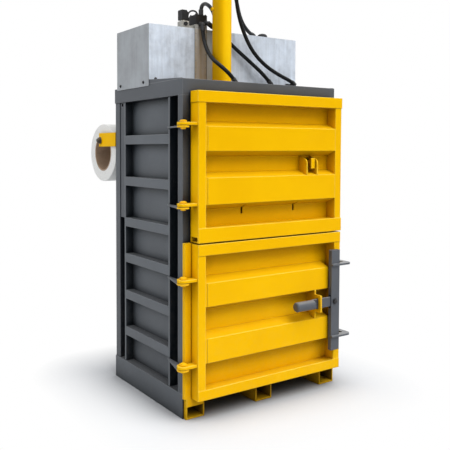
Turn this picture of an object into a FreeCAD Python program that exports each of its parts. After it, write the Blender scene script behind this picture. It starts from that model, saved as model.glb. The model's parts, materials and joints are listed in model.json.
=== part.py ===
import FreeCAD, Part
import math
import os
import Sketcher

# Vertical recycling baler: welded frame, two side-hung doors, press ram, power pack and strap roll.
# Origin: floor level at the middle of the frame. +X to the right, -Y to the front, +Z up. Millimetres.

DIMENSIONS = {
    # frame
    "frame_width": (1000, "outside width of the frame"),
    "frame_depth": (704, "outside depth of the frame"),
    "frame_height": (1636, "floor to the top of the frame"),
    "ring_wide": (54, "top ring, width of its flanges"),
    "ring_high": (78, "top ring, height"),
    "ring_web": (8, "top ring, sheet"),
    "deck_thick": (12, "plate that carries the cylinder"),
    "deck_drop": (12, "frame top to deck top"),
    "wall_sheet": (5, "chamber walls"),
    "wall_inset": (5, "side wall's outer face behind the ring's"),
    "wall_deep": (52, "side wall, sheet and flanges together"),
    "post_deep": (41, "front post along Y"),
    "rear_post_deep": (50, "rear post along Y"),
    "tube_wall": (4, "posts, door ribs and lock bar"),
    "flange_front": (-229, "front flange of the side wall, its front face"),
    "flange_rear": (234, "rear flange of the side wall, its front face"),
    "flange_edge": (14, "folded edge of a flange"),
    "rib_high": (48, "side wall rib"),
    "rib_low_mid": (290, "lowest side rib"),
    "rib_low_pitch": (205, "pitch of the three lower ribs"),
    "rib_top_mid": (899, "fourth side rib"),
    "rib_top_pitch": (226, "pitch of the three upper ribs"),
    "strip_low": (921, "lower end of the groove cover"),
    "strip_thick": (3, "groove cover"),
    "rear_face": (300, "chamber side of the rear wall"),
    "skirt_high": (120, "base skirt"),
    "skirt_thick": (8, "base skirt"),
    "floor_low": (108, "underside of the chamber floor"),
    "foot_wide": (106, "fork foot"),
    "foot_wall": (7, "fork foot, sheet"),
    "foot_proud": (20, "fork foot in front of the frame"),
    "foot_side": (439, "middle of an outer foot from the centre"),
    "foot_middle": (-11, "middle of the middle foot"),
    "column_wide": (36, "yellow hinge column"),
    "column_top": (854, "top of the hinge column"),
    "header_low": (60, "underside of the foot header"),
    "header_thick": (8, "foot header"),
    # doors
    "door_back": (-362.5, "back of both doors"),
    "door_deep": (65, "door, front to back"),
    "door_left": (-461, "left edge of both doors"),
    "door_right": (478, "right edge of both doors"),
    "stile_wide": (44, "door stile"),
    "beam_proud": (2, "door beam in front of the stiles"),
    "panel_thick": (5, "door inner sheet"),
    "flank_run": (26, "height of a door rib's sloped flank"),
    "rib_gap": (11, "sunk strip between the left stile and the ribs"),
    "rib_sink": (2, "depth of that strip below the ribs' faces"),
    "beam_past": (4, "upper door, beam past a stile"),
    "side_notch": (26, "upper door, notch at the foot of the left stile"),
    "upper_low": (857, "upper door, bottom"),
    "upper_top": (1576, "upper door, top"),
    "upper_low_beam": (70, "upper door, bottom beam"),
    "upper_top_beam": (55, "upper door, top beam"),
    "upper_rib_one": (1037, "upper door, lower rib's face, low edge"),
    "upper_rib_one_high": (128, "upper door, lower rib's face"),
    "upper_rib_two": (1292, "upper door, upper rib's face, low edge"),
    "upper_rib_two_high": (117, "upper door, upper rib's face"),
    "slot_one": (-158, "left strap slot"),
    "slot_pitch": (345, "left to right strap slot"),
    "slot_wide": (12, "strap slot"),
    "slot_low": (979, "strap slot, low end"),
    "slot_high": (48, "strap slot"),
    "lower_low": (100, "lower door, bottom"),
    "lower_top": (850, "lower door, top"),
    "lower_low_beam": (50, "lower door, bottom beam"),
    "lower_top_beam": (54, "lower door, top beam"),
    "lower_rib_one": (277, "lower door, lower rib's face, low edge"),
    "lower_rib_one_high": (118, "lower door, lower rib's face"),
    "lower_rib_two": (549, "lower door, upper rib's face, low edge"),
    "lower_rib_two_high": (114, "lower door, upper rib's face"),
    "lower_rib_end": (391, "lower door, right end of the ribs"),
    # hinges
    "hinge_x": (-525, "hinge axis"),
    "hinge_y": (-395, "hinge axis"),
    "eye_radius": (29, "hinge eyes"),
    "pin_radius": (12, "hinge pins"),
    "running_gap": (0.06, "radial clearance of pins, rod and piston"),
    "strap_thick": (14, "door hinge strap"),
    "lug_thick": (8, "frame hinge lug"),
    "shoulder_high": (3, "frame lug to door strap"),
    # latch of the upper door
    "latch_x": (130, "latch arm pivot"),
    "latch_z": (1215, "latch arm pivot"),
    "latch_reach": (302, "latch arm, pivot to tip"),
    "latch_lift": (7, "latch arm above level when open, degrees"),
    "latch_high": (30, "latch arm"),
    # lock of the lower door
    "bar_left": (386, "lock bar"),
    "bar_wide": (60, "lock bar"),
    "bar_deep": (22, "lock bar"),
    "bar_front": (-458, "lock bar, front face"),
    "bar_low": (214, "lock bar, low end"),
    "bar_high": (544, "lock bar"),
    "ear_low": (283, "lower ear, underside"),
    "ear_pitch": (390, "lower to upper ear"),
    "ear_thick": (10, "lock ears"),
    "lock_lift": (30, "travel of the lock bar"),
    "lock_pin_x": (521, "lock pins"),
    "lock_pin_y": (-334, "lock pins"),
    "lock_pin_radius": (8.5, "lock pins"),
    "hook_play": (2.5, "lock pin to the sides of its hook"),
    "lever_x": (297, "keeper and lever fulcrum"),
    "lever_z": (480, "lever fulcrum"),
    "lever_y": (-447, "middle of the lever"),
    "lever_thick": (12, "lever"),
    "lever_high": (50, "lever"),
    "bolt_x": (412, "pivot bolt of the lever"),
    "bolt_radius": (7, "pivot bolt of the lever"),
    "grip_radius": (25, "lever grip"),
    # press
    "cylinder_x": (-104, "cylinder axis"),
    "cylinder_y": (-124, "cylinder axis"),
    "barrel_radius": (51, "cylinder tube, outside"),
    "bore_radius": (42, "cylinder tube, inside"),
    "barrel_low": (1644, "cylinder tube, low end"),
    "barrel_high": (856, "cylinder tube"),
    "flange_wide": (160, "cylinder flange, square"),
    "flange_high": (20, "cylinder flange"),
    "cap_high": (34, "cylinder cap"),
    "rod_radius": (25, "piston rod"),
    "rod_high": (980, "piston rod"),
    "piston_high": (50, "piston"),
    "platen_low": (1440, "press face, ram up"),
    "platen_half": (430, "platen, half width"),
    "platen_front": (-322, "platen, front edge"),
    "platen_deep": (592, "platen, front to back"),
    "platen_thick": (20, "platen plate"),
    "platen_beam": (80, "platen beams, height"),
    "platen_beam_wide": (40, "platen beams, width"),
    "groove_wide": (24, "strap grooves"),
    "groove_deep": (8, "strap grooves"),
    # power pack
    "cover_half": (504, "power pack cover, half width"),
    "cover_front": (-36, "power pack cover, front face"),
    "cover_rear": (315, "power pack cover, rear face"),
    "cover_lap": (10, "cover's side skirts below the frame top"),
    "cover_top": (1945, "power pack cover, top"),
    "cover_sheet": (2, "power pack cover, sheet"),
    "lip_high": (22, "upstand inside the cover's skirts"),
    # strap roll
    "spindle_y": (538, "strap spindle"),
    "spindle_z": (1358, "strap spindle"),
    "spindle_radius": (22, "strap spindle"),
    "core_bore": (100, "cardboard core, inside radius"),
    "core_wall": (8, "cardboard core"),
    "roll_radius": (168, "strap roll"),
    "roll_left": (-486, "strap roll, left face"),
    "roll_wide": (190, "strap roll"),
    "arm_thick": (8, "spindle arms"),
    # hoses
    "hose_radius": (10.5, "hydraulic hoses"),
    "cable_radius": (4.5, "coil cable"),
}

doc = FreeCAD.newDocument("recycling_baler")
sheet = doc.addObject("Spreadsheet::Sheet", "Dims")
for row, (alias, (number, note)) in enumerate(DIMENSIONS.items(), 1):
    sheet.set("A%d" % row, note)
    sheet.set("B%d" % row, str(number))
    sheet.setAlias("B%d" % row, alias)
doc.recompute()

class Size:
    """A length that knows both its value and the sheet expression it comes from."""

    def __init__(self, value, text=None):
        self.value = float(value)
        self.text = text or repr(float(value))

    def join(self, sign, other, value):
        return Size(value, "(%s %s %s)" % (self.text, sign, other.text))

    def __add__(self, other):
        other = size(other)
        return self.join("+", other, self.value + other.value)

    def __sub__(self, other):
        other = size(other)
        return self.join("-", other, self.value - other.value)

    def __mul__(self, other):
        other = size(other)
        return self.join("*", other, self.value * other.value)

    def __truediv__(self, other):
        other = size(other)
        return self.join("/", other, self.value / other.value)

    def __radd__(self, other):
        return size(other) + self

    def __rsub__(self, other):
        return size(other) - self

    def __rmul__(self, other):
        return size(other) * self

    def __neg__(self):
        return size(0) - self

def size(number):
    return number if isinstance(number, Size) else Size(number)

class Sizes:
    """The sheet's cells by name."""

    def __getattr__(self, alias):
        return Size(sheet.get(alias), "Dims." + alias)

d = Sizes()
vector = FreeCAD.Vector
nodes = {}

# ---------------------------------------------------------------- helpers
def publish(node, item):
    """Name a finished sub-part; the name is also its file's."""
    item.Label = node
    if item.Label != node:
        raise ValueError("name taken: " + node)
    nodes[node] = item
    return item

def move(item, x=0, y=0, z=0):
    for axis, step in (("x", x), ("y", y), ("z", z)):
        item.setExpression("Placement.Base." + axis, size(step).text)
    return item

def block(name, x, y, z):
    """Box between two faces along each axis: x, y and z are pairs."""
    item = doc.addObject("Part::Box", name)
    for side, (low, high) in zip(("Length", "Width", "Height"), (x, y, z)):
        item.setExpression(side, (size(high) - low).text)
    return move(item, x[0], y[0], z[0])

TURNS = {"x": (vector(0, 1, 0), 90), "y": (vector(1, 0, 0), -90), "z": (vector(0, 0, 1), 0)}

def span(one, other):
    """Two faces as a pair for a block, the lower one first."""
    return (one, other) if size(one).value < size(other).value else (other, one)

def rod(name, radius, start, length, along="z"):
    """Cylinder from a start point in the positive direction of an axis."""
    item = doc.addObject("Part::Cylinder", name)
    item.setExpression("Radius", size(radius).text)
    item.setExpression("Height", size(length).text)
    axis, angle = TURNS[along]
    item.Placement = FreeCAD.Placement(vector(), FreeCAD.Rotation(axis, angle))
    return move(item, *start)

def ball(name, radius, centre):
    item = doc.addObject("Part::Sphere", name)
    item.setExpression("Radius", size(radius).text)
    return move(item, *centre)

def fuse(name, *items):
    item = doc.addObject("Part::MultiFuse", name)
    item.Shapes = list(items)
    item.Refine = True
    return item

def cut(name, base, *tools):
    item = doc.addObject("Part::Cut", name)
    item.Base = base
    item.Tool = tools[0] if len(tools) == 1 else fuse(name + "_tools", *tools)
    return item

def set_of(name, *items):
    """Like pieces that stand apart, kept together as one sub-part."""
    item = doc.addObject("Part::Compound", name)
    item.Links = list(items)
    return item

def new_body(name):
    return doc.addObject("PartDesign::Body", name)

def plane(body, role):
    return [item for item in body.Origin.OriginFeatures if item.Role == role][0]

def add_loop(sketch, points):
    """Closed chain of straight lines, every corner held to the sheet."""
    first = sketch.GeometryCount
    corners = [(size(u), size(v)) for u, v in points]
    flat = [vector(u.value, v.value, 0) for u, v in corners]
    for start, end in zip(flat, flat[1:] + flat[:1]):
        sketch.addGeometry(Part.LineSegment(start, end), False)
    count = len(corners)
    for i in range(count):
        sketch.addConstraint(Sketcher.Constraint("Coincident", first + i, 2, first + (i + 1) % count, 1))
    for i, corner in enumerate(corners):
        hold_point(sketch, first + i, 1, corner)

def hold_point(sketch, geometry, point, place):
    """Tie a point's two coordinates to the sheet."""
    for kind, on_axis, length in zip(("DistanceX", "DistanceY"), ("Vertical", "Horizontal"), place):
        if abs(length.value) < 1e-9:
            sketch.addConstraint(Sketcher.Constraint(on_axis, -1, 1, geometry, point))
        else:
            rule = sketch.addConstraint(Sketcher.Constraint(kind, -1, 1, geometry, point, length.value))
            sketch.setExpression("Constraints[%d]" % rule, length.text)

def sketch_on(body, name, role, *loops, offset=None):
    """Sketch of straight-sided loops on one of the body's own planes."""
    sketch = body.newObject("Sketcher::SketchObject", name)
    sketch.AttachmentSupport = [(plane(body, role), "")]
    sketch.MapMode = "FlatFace"
    if offset is not None:
        sketch.setExpression("AttachmentOffset.Base.z", size(offset).text)
    for points in loops:
        add_loop(sketch, points)
    return sketch

def circle_on(body, name, role, *circles, offset=None):
    """Sketch of circles: each is centre u, centre v, radius."""
    sketch = sketch_on(body, name, role, offset=offset)
    for circle in circles:
        u, v, radius = [size(number) for number in circle]
        round_line = Part.Circle(vector(u.value, v.value, 0), vector(0, 0, 1), radius.value)
        index = sketch.addGeometry(round_line, False)
        rule = sketch.addConstraint(Sketcher.Constraint("Radius", index, radius.value))
        sketch.setExpression("Constraints[%d]" % rule, radius.text)
        hold_point(sketch, index, 3, (u, v))
    return sketch

def box_loop(u, v):
    return [(u[0], v[0]), (u[1], v[0]), (u[1], v[1]), (u[0], v[1])]

def extrude(body, kind, sketch, length, midplane, reverse):
    feature = body.newObject("PartDesign::" + kind, sketch.Name + "_" + kind.lower())
    feature.Profile = sketch
    feature.setExpression("Length", size(length).text)
    feature.Midplane = midplane
    feature.Reversed = reverse
    doc.recompute()
    return feature

def pad(body, sketch, length, midplane=False, reverse=False):
    return extrude(body, "Pad", sketch, length, midplane, reverse)

def pocket(body, sketch, length, midplane=False, reverse=False):
    before = body.Shape.Volume
    feature = extrude(body, "Pocket", sketch, length, midplane, reverse)
    if feature.Shape.Volume > before - 1:
        raise ValueError(sketch.Name + " cuts nothing")
    return feature

def revolve(body, name, points):
    """Turned piece about the body's own Z axis from its half section."""
    sketch = sketch_on(body, name, "XZ_Plane", points)
    feature = body.newObject("PartDesign::Revolution", name + "_turned")
    feature.Profile = sketch
    feature.ReferenceAxis = (sketch, ["V_Axis"])
    feature.Angle = 360
    doc.recompute()
    return feature

def repeat(body, feature, role, pitch, count):
    """Copies of a feature at a pitch along one of the body's own axes."""
    pattern = body.newObject("PartDesign::LinearPattern", feature.Name + "_row")
    pattern.Originals = [feature]
    pattern.Direction = (plane(body, role), [""])
    pattern.setExpression("Length", (size(pitch) * (count - 1)).text)
    pattern.Occurrences = count
    body.Tip = pattern
    doc.recompute()
    return pattern

def round_off(body, radius, wanted):
    """Fillet of the edges that a test picks."""
    base = body.Tip
    names = ["Edge%d" % i for i, edge in enumerate(base.Shape.Edges, 1) if wanted(edge)]
    if not names:
        raise ValueError(base.Name + " has no such edge")
    feature = body.newObject("PartDesign::Fillet", base.Name + "_round")
    feature.Base = (base, names)
    feature.setExpression("Radius", size(radius).text)
    doc.recompute()
    return feature

def runs(edge, axis):
    if len(edge.Vertexes) != 2 or not isinstance(edge.Curve, Part.Line):
        return False
    step = edge.Vertexes[1].Point - edge.Vertexes[0].Point
    return abs(abs(getattr(step, axis)) - step.Length) < 1e-6

def edge_at(axis, **where):
    """Test for a straight edge along an axis at the given place, in the body's own coordinates."""
    def wanted(edge):
        if not runs(edge, axis):
            return False
        point = edge.Vertexes[0].Point
        return all(abs(getattr(point, key) - size(value).value) < 0.01 for key, value in where.items())
    return wanted

def any_of(*tests):
    return lambda edge: any(test(edge) for test in tests)

# ---------------------------------------------------------------- frame
half = d.frame_width / 2
depth = d.frame_depth / 2
ring_low = d.frame_height - d.ring_high
wall_face = half - d.wall_inset
wall_skin = wall_face - d.wall_deep
chamber_high = ring_low - d.skirt_high

def rib_channel(back, face, middle):
    """Section of a pressed rib: a channel closed by the sheet behind it."""
    low, high = middle - d.rib_high / 2, middle + d.rib_high / 2
    wall = d.tube_wall
    return [(back, low), (face, low), (face, high), (back, high),
            (back, high - wall), (face - wall, high - wall), (face - wall, low + wall), (back, low + wall)]

RIB_ROWS = (("low", d.rib_low_mid, d.rib_low_pitch), ("top", d.rib_top_mid, d.rib_top_pitch))

def rib_row(name, role, section, length, pitch, offset=None, midplane=False):
    """Three like ribs at a pitch, one above the other."""
    body = new_body(name)
    rib = pad(body, sketch_on(body, name + "_section", role, section, offset=offset), length, midplane)
    repeat(body, rib, "Z_Axis", pitch, 3)
    return body

def build_side_wall(label, side):
    """Chamber side: one sheet, two upright flanges and six level ribs, flush on the outside."""
    skin, back, face = side * wall_skin, side * (wall_skin + d.wall_sheet), side * wall_face
    front, rear, edge = d.flange_front, d.flange_rear, d.flange_edge
    high = (d.skirt_high, ring_low)
    parts = [block(label + "_sheet", span(skin, back), (-depth, depth), high)]
    for place, near in (("front", front), ("rear", rear)):
        parts.append(block("%s_flange_%s" % (label, place), span(back, face), (near, near + edge), high))
    for row, first, pitch in RIB_ROWS:
        section = [(side * u, v) for u, v in rib_channel(wall_skin + d.wall_sheet, wall_face, first)]
        parts.append(rib_row("%s_ribs_%s" % (label, row), "XZ_Plane", section, rear - front - edge, pitch,
                             offset=-rear))
    publish(label, set_of(label + "_weld", *parts))

def post(name, x, y):
    """Square tube between the skirt and the top ring."""
    span = (d.skirt_high, ring_low)
    wall = d.tube_wall
    outside = block(name + "_outside", x, y, span)
    inside = block(name + "_inside", (x[0] + wall, x[1] - wall), (y[0] + wall, y[1] - wall),
                   (span[0] - 1, span[1] + 1))
    return cut(name, outside, inside)

def build_posts():
    inner = wall_skin + d.wall_sheet
    front = (-depth, d.post_deep - depth)
    rear = (depth - d.rear_post_deep, depth)
    publish("front_posts", set_of("front_post_pair", post("post_front_left", (-half, -inner), front),
                                  post("post_front_right", (inner, half), front)))
    publish("rear_posts", set_of("rear_post_pair", post("post_rear_left", (-wall_face, -inner), rear),
                                 post("post_rear_right", (inner, wall_face), rear)))

def build_groove_covers():
    """Cover strips in the grooves in front of the rear posts, each with a cable hole at its top."""
    near, far = d.flange_rear + d.flange_edge, depth - d.rear_post_deep
    strips = []
    for label, start in (("left", 4 - wall_face), ("right", wall_face - 4 - d.strip_thick)):
        strip = block("strip_" + label, (start, start + d.strip_thick), (near, far), (d.strip_low, ring_low))
        hole = rod("strip_hole_" + label, 9, (start - 5, (near + far) / 2, ring_low - 14), 20, "x")
        strips.append(cut("groove_cover_" + label, strip, hole))
    publish("groove_covers", set_of("groove_cover_pair", *strips))

def build_top_frame():
    """Ring of channel beams, open to the inside, with the deck let into it."""
    inside_x, inside_y = half - d.ring_wide, depth - d.ring_wide
    web_x, web_y = half - d.ring_web, depth - d.ring_web
    top = d.frame_height
    ring = block("ring", (-half, half), (-depth, depth), (ring_low, top))
    opening = block("ring_opening", (-inside_x, inside_x), (-inside_y, inside_y), (ring_low - 1, top + 1))
    channel = block("ring_channel", (-web_x, web_x), (-web_y, web_y),
                    (ring_low + d.ring_web, top - d.ring_web))
    publish("top_frame", cut("ring_welded", ring, opening, channel))
    deck_top = top - d.deck_drop
    deck = block("deck", (-web_x, web_x), (-web_y, web_y), (deck_top - d.deck_thick, deck_top))
    bore = rod("deck_bore", d.barrel_radius - 0.5, (d.cylinder_x, d.cylinder_y, deck_top - 30), 40)
    publish("top_plate", cut("deck_bored", deck, bore))

BOLT_Y = (17, 272)
COVER_BOLT_Z = 1648
FRONT_BOLT_X = 455
FRONT_BOLT_Z = 1655
BOLT_BORE = 3.3

def bolt_bores(name):
    """Bores for the cover's side bolts, right through from side to side."""
    return [rod("%s_bore_%d" % (name, y), BOLT_BORE, (-half - 20, y, COVER_BOLT_Z), d.frame_width + 40, "x")
            for y in BOLT_Y]

def build_cover_lips():
    """Upstands that the cover is bolted to, falling away to the front, and two angles behind its front."""
    front = d.cover_front
    lips = []
    for label, start in (("left", -half), ("right", half - d.tube_wall)):
        body = new_body("lip_" + label)
        pad(body, sketch_on(body, "lip_side_" + label, "YZ_Plane", [
            (8 - depth, 0), (d.cover_rear - 5, 0), (d.cover_rear - 5, d.lip_high), (front, d.lip_high),
            (8 - depth, 3)]), d.tube_wall)
        lips.append(move(body, start, 0, d.frame_height))
    sides = cut("lip_drilled", fuse("lip_pair", *lips), *bolt_bores("lip"))
    angles = []
    face = front + d.cover_sheet
    low = d.frame_height
    for label, bolt in (("left", -FRONT_BOLT_X), ("right", FRONT_BOLT_X)):
        x = (bolt - 9, bolt + 19) if bolt > 0 else (bolt - 19, bolt + 9)
        stand = block("angle_stand_" + label, x, (face, face + 4), (low, low + 34))
        base = block("angle_base_" + label, x, (face, face + 30), (low, low + 4))
        bore = rod("angle_bore_" + label, BOLT_BORE, (bolt, face - 5, FRONT_BOLT_Z), 20, "y")
        angles.append(cut("angle_" + label, fuse("angle_weld_" + label, stand, base), bore))
    publish("cover_lips", set_of("lips_and_angles", sides, *angles))

def build_rear_wall():
    """Rear sheet with ribs at the side walls' levels."""
    back = d.rear_face + d.wall_sheet
    parts = [block("rear_sheet", (-wall_skin, wall_skin), (d.rear_face, back), (d.skirt_high, ring_low))]
    for row, first, pitch in RIB_ROWS:
        parts.append(rib_row("rear_ribs_" + row, "YZ_Plane", rib_channel(back, depth, first), wall_skin * 2,
                             pitch, midplane=True))
    publish("rear_wall", set_of("rear_wall_weld", *parts))

def groove_row(body, name, low, high, length):
    """Strap grooves in line with the slots of the upper door."""
    reach = d.groove_wide / 2
    outline = box_loop((d.slot_one - reach, d.slot_one + reach), (low, high))
    groove = sketch_on(body, name, "XZ_Plane", outline)
    repeat(body, pocket(body, groove, length, midplane=True), "X_Axis", d.slot_pitch, 2)

def build_base():
    side = half - d.skirt_thick
    skirts = [block("skirt_" + label, x, (-depth, depth), (0, d.skirt_high))
              for label, x in (("left", (-half, -side)), ("right", (side, half)))]
    publish("base_skirts", set_of("skirt_pair", *skirts))

    floor = new_body("floor_body")
    thick = d.skirt_high - d.floor_low
    pad(floor, sketch_on(floor, "floor_edge", "XZ_Plane", box_loop((-side, side), (0, thick))), depth * 2,
        midplane=True)
    groove_row(floor, "floor_groove", thick - d.groove_deep, thick + 1, depth * 2 + 2)
    publish("chamber_floor", move(floor, z=d.floor_low))

    wide, wall, high = d.foot_wide / 2, d.foot_wall, d.floor_low
    foot_front_top = d.lower_low - 2
    section = [(-wide, 0), (wide, 0), (wide, high), (wide - wall, high),
               (wide - wall, wall), (wall - wide, wall), (wall - wide, high), (-wide, high)]
    for label, middle in (("left", -d.foot_side), ("middle", d.foot_middle), ("right", d.foot_side)):
        foot = new_body("foot_body_" + label)
        pad(foot, sketch_on(foot, "foot_section_" + label, "XZ_Plane", section), depth * 2 + d.foot_proud)
        under_door = box_loop((-depth * 2 - d.foot_proud - 1, -depth * 2), (foot_front_top, high + 1))
        notch = sketch_on(foot, "foot_notch_" + label, "YZ_Plane", under_door)
        pocket(foot, notch, d.foot_wide + 2, midplane=True)
        publish("foot_" + label, move(foot, middle, depth, 0))

    front = -depth - d.foot_proud
    column = block("column_bar", (-half, d.column_wide - half), (front, -depth),
                   (foot_front_top, d.column_top))
    header = block("column_header", (-d.foot_side - wide + wall, wide - d.foot_side - wall),
                   (front, front + d.header_thick), (d.header_low, foot_front_top))
    publish("hinge_column", fuse("column_weld", column, header))

HINGE_LEVELS = {"upper_door": (1040, 1420), "lower_door": (272, 682)}

def build_hinge_lugs():
    """Frame side of the hinges: gusset lug, shouldered pin and its head, welded as one."""
    outer, inner = -half - d.hinge_x, -wall_face - d.hinge_x
    post_back = d.post_deep - depth - d.hinge_y
    flange_back = d.flange_front + d.flange_edge - d.hinge_y
    pin = d.pin_radius
    lugs = []
    for level in sum(HINGE_LEVELS.values(), ()):
        name = "lug_%d" % level
        body = new_body(name)
        pad(body, sketch_on(body, name + "_plan", "XY_Plane", [
            (-d.eye_radius, 0), (0, d.eye_radius * -0.3), (outer, -8), (outer, post_back),
            (inner, post_back), (inner, flange_back), (outer, flange_back)]), d.lug_thick)
        low = level - d.strap_thick / 2 - d.shoulder_high - d.lug_thick
        move(body, d.hinge_x, d.hinge_y, low)
        top = low + d.lug_thick
        eye = rod(name + "_eye", d.eye_radius, (d.hinge_x, d.hinge_y, low), d.lug_thick)
        shank = rod(name + "_pin", pin, (d.hinge_x, d.hinge_y, low - 8), d.strap_thick + d.lug_thick + 22)
        shoulder = rod(name + "_shoulder", pin + 6, (d.hinge_x, d.hinge_y, top), d.shoulder_high - 0.3)
        head_low = top + d.shoulder_high + d.strap_thick + 1
        head = rod(name + "_head", pin + 5, (d.hinge_x, d.hinge_y, head_low), 7)
        lugs.append(fuse(name + "_weld", body, eye, shank, shoulder, head))
    publish("frame_hinge_lugs", set_of("frame_lug_set", *lugs))

def build_lock_lugs():
    """Lugs on the right front post, each with a pin that hangs above an ear of the lock bar."""
    parts = []
    right = half + 34
    near, far = -depth, d.post_deep - depth - 2
    for number in (0, 1):
        pin_low = d.ear_low + d.ear_pitch * number + d.ear_thick + 4
        name = "lock_lug_%d" % number
        body = new_body(name)
        pad(body, sketch_on(body, name + "_plan", "XY_Plane", box_loop((half, right), (near, far))),
            d.lug_thick + 10)
        round_off(body, 14, any_of(edge_at("z", x=right, y=near), edge_at("z", x=right, y=far)))
        parts.append(move(body, z=pin_low + d.lock_lift))
        parts.append(rod(name + "_pin", d.lock_pin_radius, (d.lock_pin_x, d.lock_pin_y, pin_low),
                         d.lock_lift))
    publish("lock_lugs", set_of("lock_lug_pair", *parts))

def build_latch_catch():
    """Hook on the right chamber wall that the latch arm drops behind."""
    z = d.latch_z
    strip = block("catch_strip", (wall_skin - 6, wall_skin), (-depth, 30 - depth), (z - 50, z + 45))
    hook = block("catch_hook", (wall_skin - 26, wall_skin - 6), (-depth, 6 - depth), (z - 20, z + 16))
    publish("latch_catch", set_of("catch_weld", strip, hook))

# ---------------------------------------------------------------- doors
door_front = d.door_back - d.door_deep
panel_front = d.door_back - d.panel_thick
stile_in_left = d.door_left + d.stile_wide
stile_in_right = d.door_right - d.stile_wide

def build_door_frame(door, low, high, low_beam, high_beam):
    """Stiles and beams folded as channels that open to the back, and proud beam faces."""
    body = new_body(door + "_ring")
    wall = d.tube_wall
    deep = panel_front - door_front
    wide = (d.door_left, d.door_right)
    outer = box_loop(wide, (low, high))
    inner = box_loop((stile_in_left, stile_in_right), (low + low_beam, high - high_beam))
    pad(body, sketch_on(body, door + "_outline", "XZ_Plane", outer, inner, offset=-panel_front), deep)
    beams = [box_loop(wide, (low, low + low_beam)), box_loop(wide, (high - high_beam, high))]
    pad(body, sketch_on(body, door + "_beams", "XZ_Plane", *beams, offset=-door_front), d.beam_proud)
    hollow = [box_loop((d.door_left + wall, d.door_right - wall), (low + wall, high - wall)),
              box_loop((stile_in_left - wall, stile_in_right + wall),
                       (low + low_beam - wall, high - high_beam + wall))]
    pocket(body, sketch_on(body, door + "_hollow", "XZ_Plane", *hollow, offset=-panel_front), deep - wall,
           reverse=True)
    return body

def hang_door(door, body):
    """The door's frame with its two hinge straps."""
    straps = []
    for level in HINGE_LEVELS[door]:
        z = (level - d.strap_thick / 2, level + d.strap_thick / 2)
        name = "%s_strap_%d" % (door, level)
        bar = block(name + "_bar", (d.hinge_x, d.door_left), (d.hinge_y - 27, d.hinge_y + 14), z)
        eye = rod(name + "_eye", d.eye_radius, (d.hinge_x, d.hinge_y, z[0]), d.strap_thick)
        bore = rod(name + "_bore", d.pin_radius + d.running_gap, (d.hinge_x, d.hinge_y, z[0] - 1),
                   d.strap_thick + 2)
        straps.append(cut(name, fuse(name + "_weld", bar, eye), bore))
    publish(door + "_frame", fuse(door + "_frame_weld", body, *straps))

def rib_outline(low, high, sink=0):
    """A pressed door rib seen from its end: sloped flanks and a flat face, which may be sunk."""
    front = door_front + sink
    drop = d.flank_run / (panel_front - door_front) * sink
    return [(panel_front, low - d.flank_run), (front, low - drop), (front, high + drop),
            (panel_front, high + d.flank_run)]

def rib_section(low, high, sink=0):
    """Section of a pressed door rib, open to the sheet behind it."""
    lean = d.tube_wall * 1.1
    back = door_front + sink + d.tube_wall
    return rib_outline(low, high, sink) + [
        (panel_front, high + d.flank_run - lean), (back, high - lean * 0.2),
        (back, low + lean * 0.2), (panel_front, low - d.flank_run + lean)]

def door_ribs(node, ribs, right, capped):
    """Pressed ribs on a door's sheet, each joined to the left stile by a sunk strip."""
    start = stile_in_left + d.rib_gap
    made = []
    for number, (low, face_high) in enumerate(ribs):
        high = low + face_high
        name = "%s_%d" % (node, number)
        body = new_body(name)
        section = sketch_on(body, name + "_section", "YZ_Plane", rib_section(low, high), offset=start)
        pad(body, section, right - start)
        strip = sketch_on(body, name + "_strip", "YZ_Plane", rib_section(low, high, d.rib_sink),
                          offset=stile_in_left)
        pad(body, strip, d.rib_gap)
        if capped:
            cap = sketch_on(body, name + "_cap", "YZ_Plane", rib_outline(low, high),
                            offset=right - d.tube_wall)
            pad(body, cap, d.tube_wall)
        made.append(body)
    return made

def door_panel(node, low, high, slots):
    """Inner sheet of a door."""
    body = new_body(node + "_body")
    outline = box_loop((d.door_left, d.door_right), (low, high))
    pad(body, sketch_on(body, node + "_outline", "XZ_Plane", outline, offset=-d.door_back), d.panel_thick)
    for number, (x, z) in enumerate(slots):
        name = "%s_slot_%d" % (node, number)
        pocket(body, sketch_on(body, name, "XZ_Plane", box_loop(x, z), offset=-d.door_back),
               d.panel_thick + 1, reverse=True)
    return body

def strap_slots():
    z = (d.slot_low, d.slot_low + d.slot_high)
    middles = [d.slot_one + d.slot_pitch * number for number in (0, 1)]
    return [((middle - d.slot_wide / 2, middle + d.slot_wide / 2), z) for middle in middles]

TAB_SLOT = ((266, 297), (1199, 1252))
ARM_GAP = 19
ARM_THICK = 8

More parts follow.
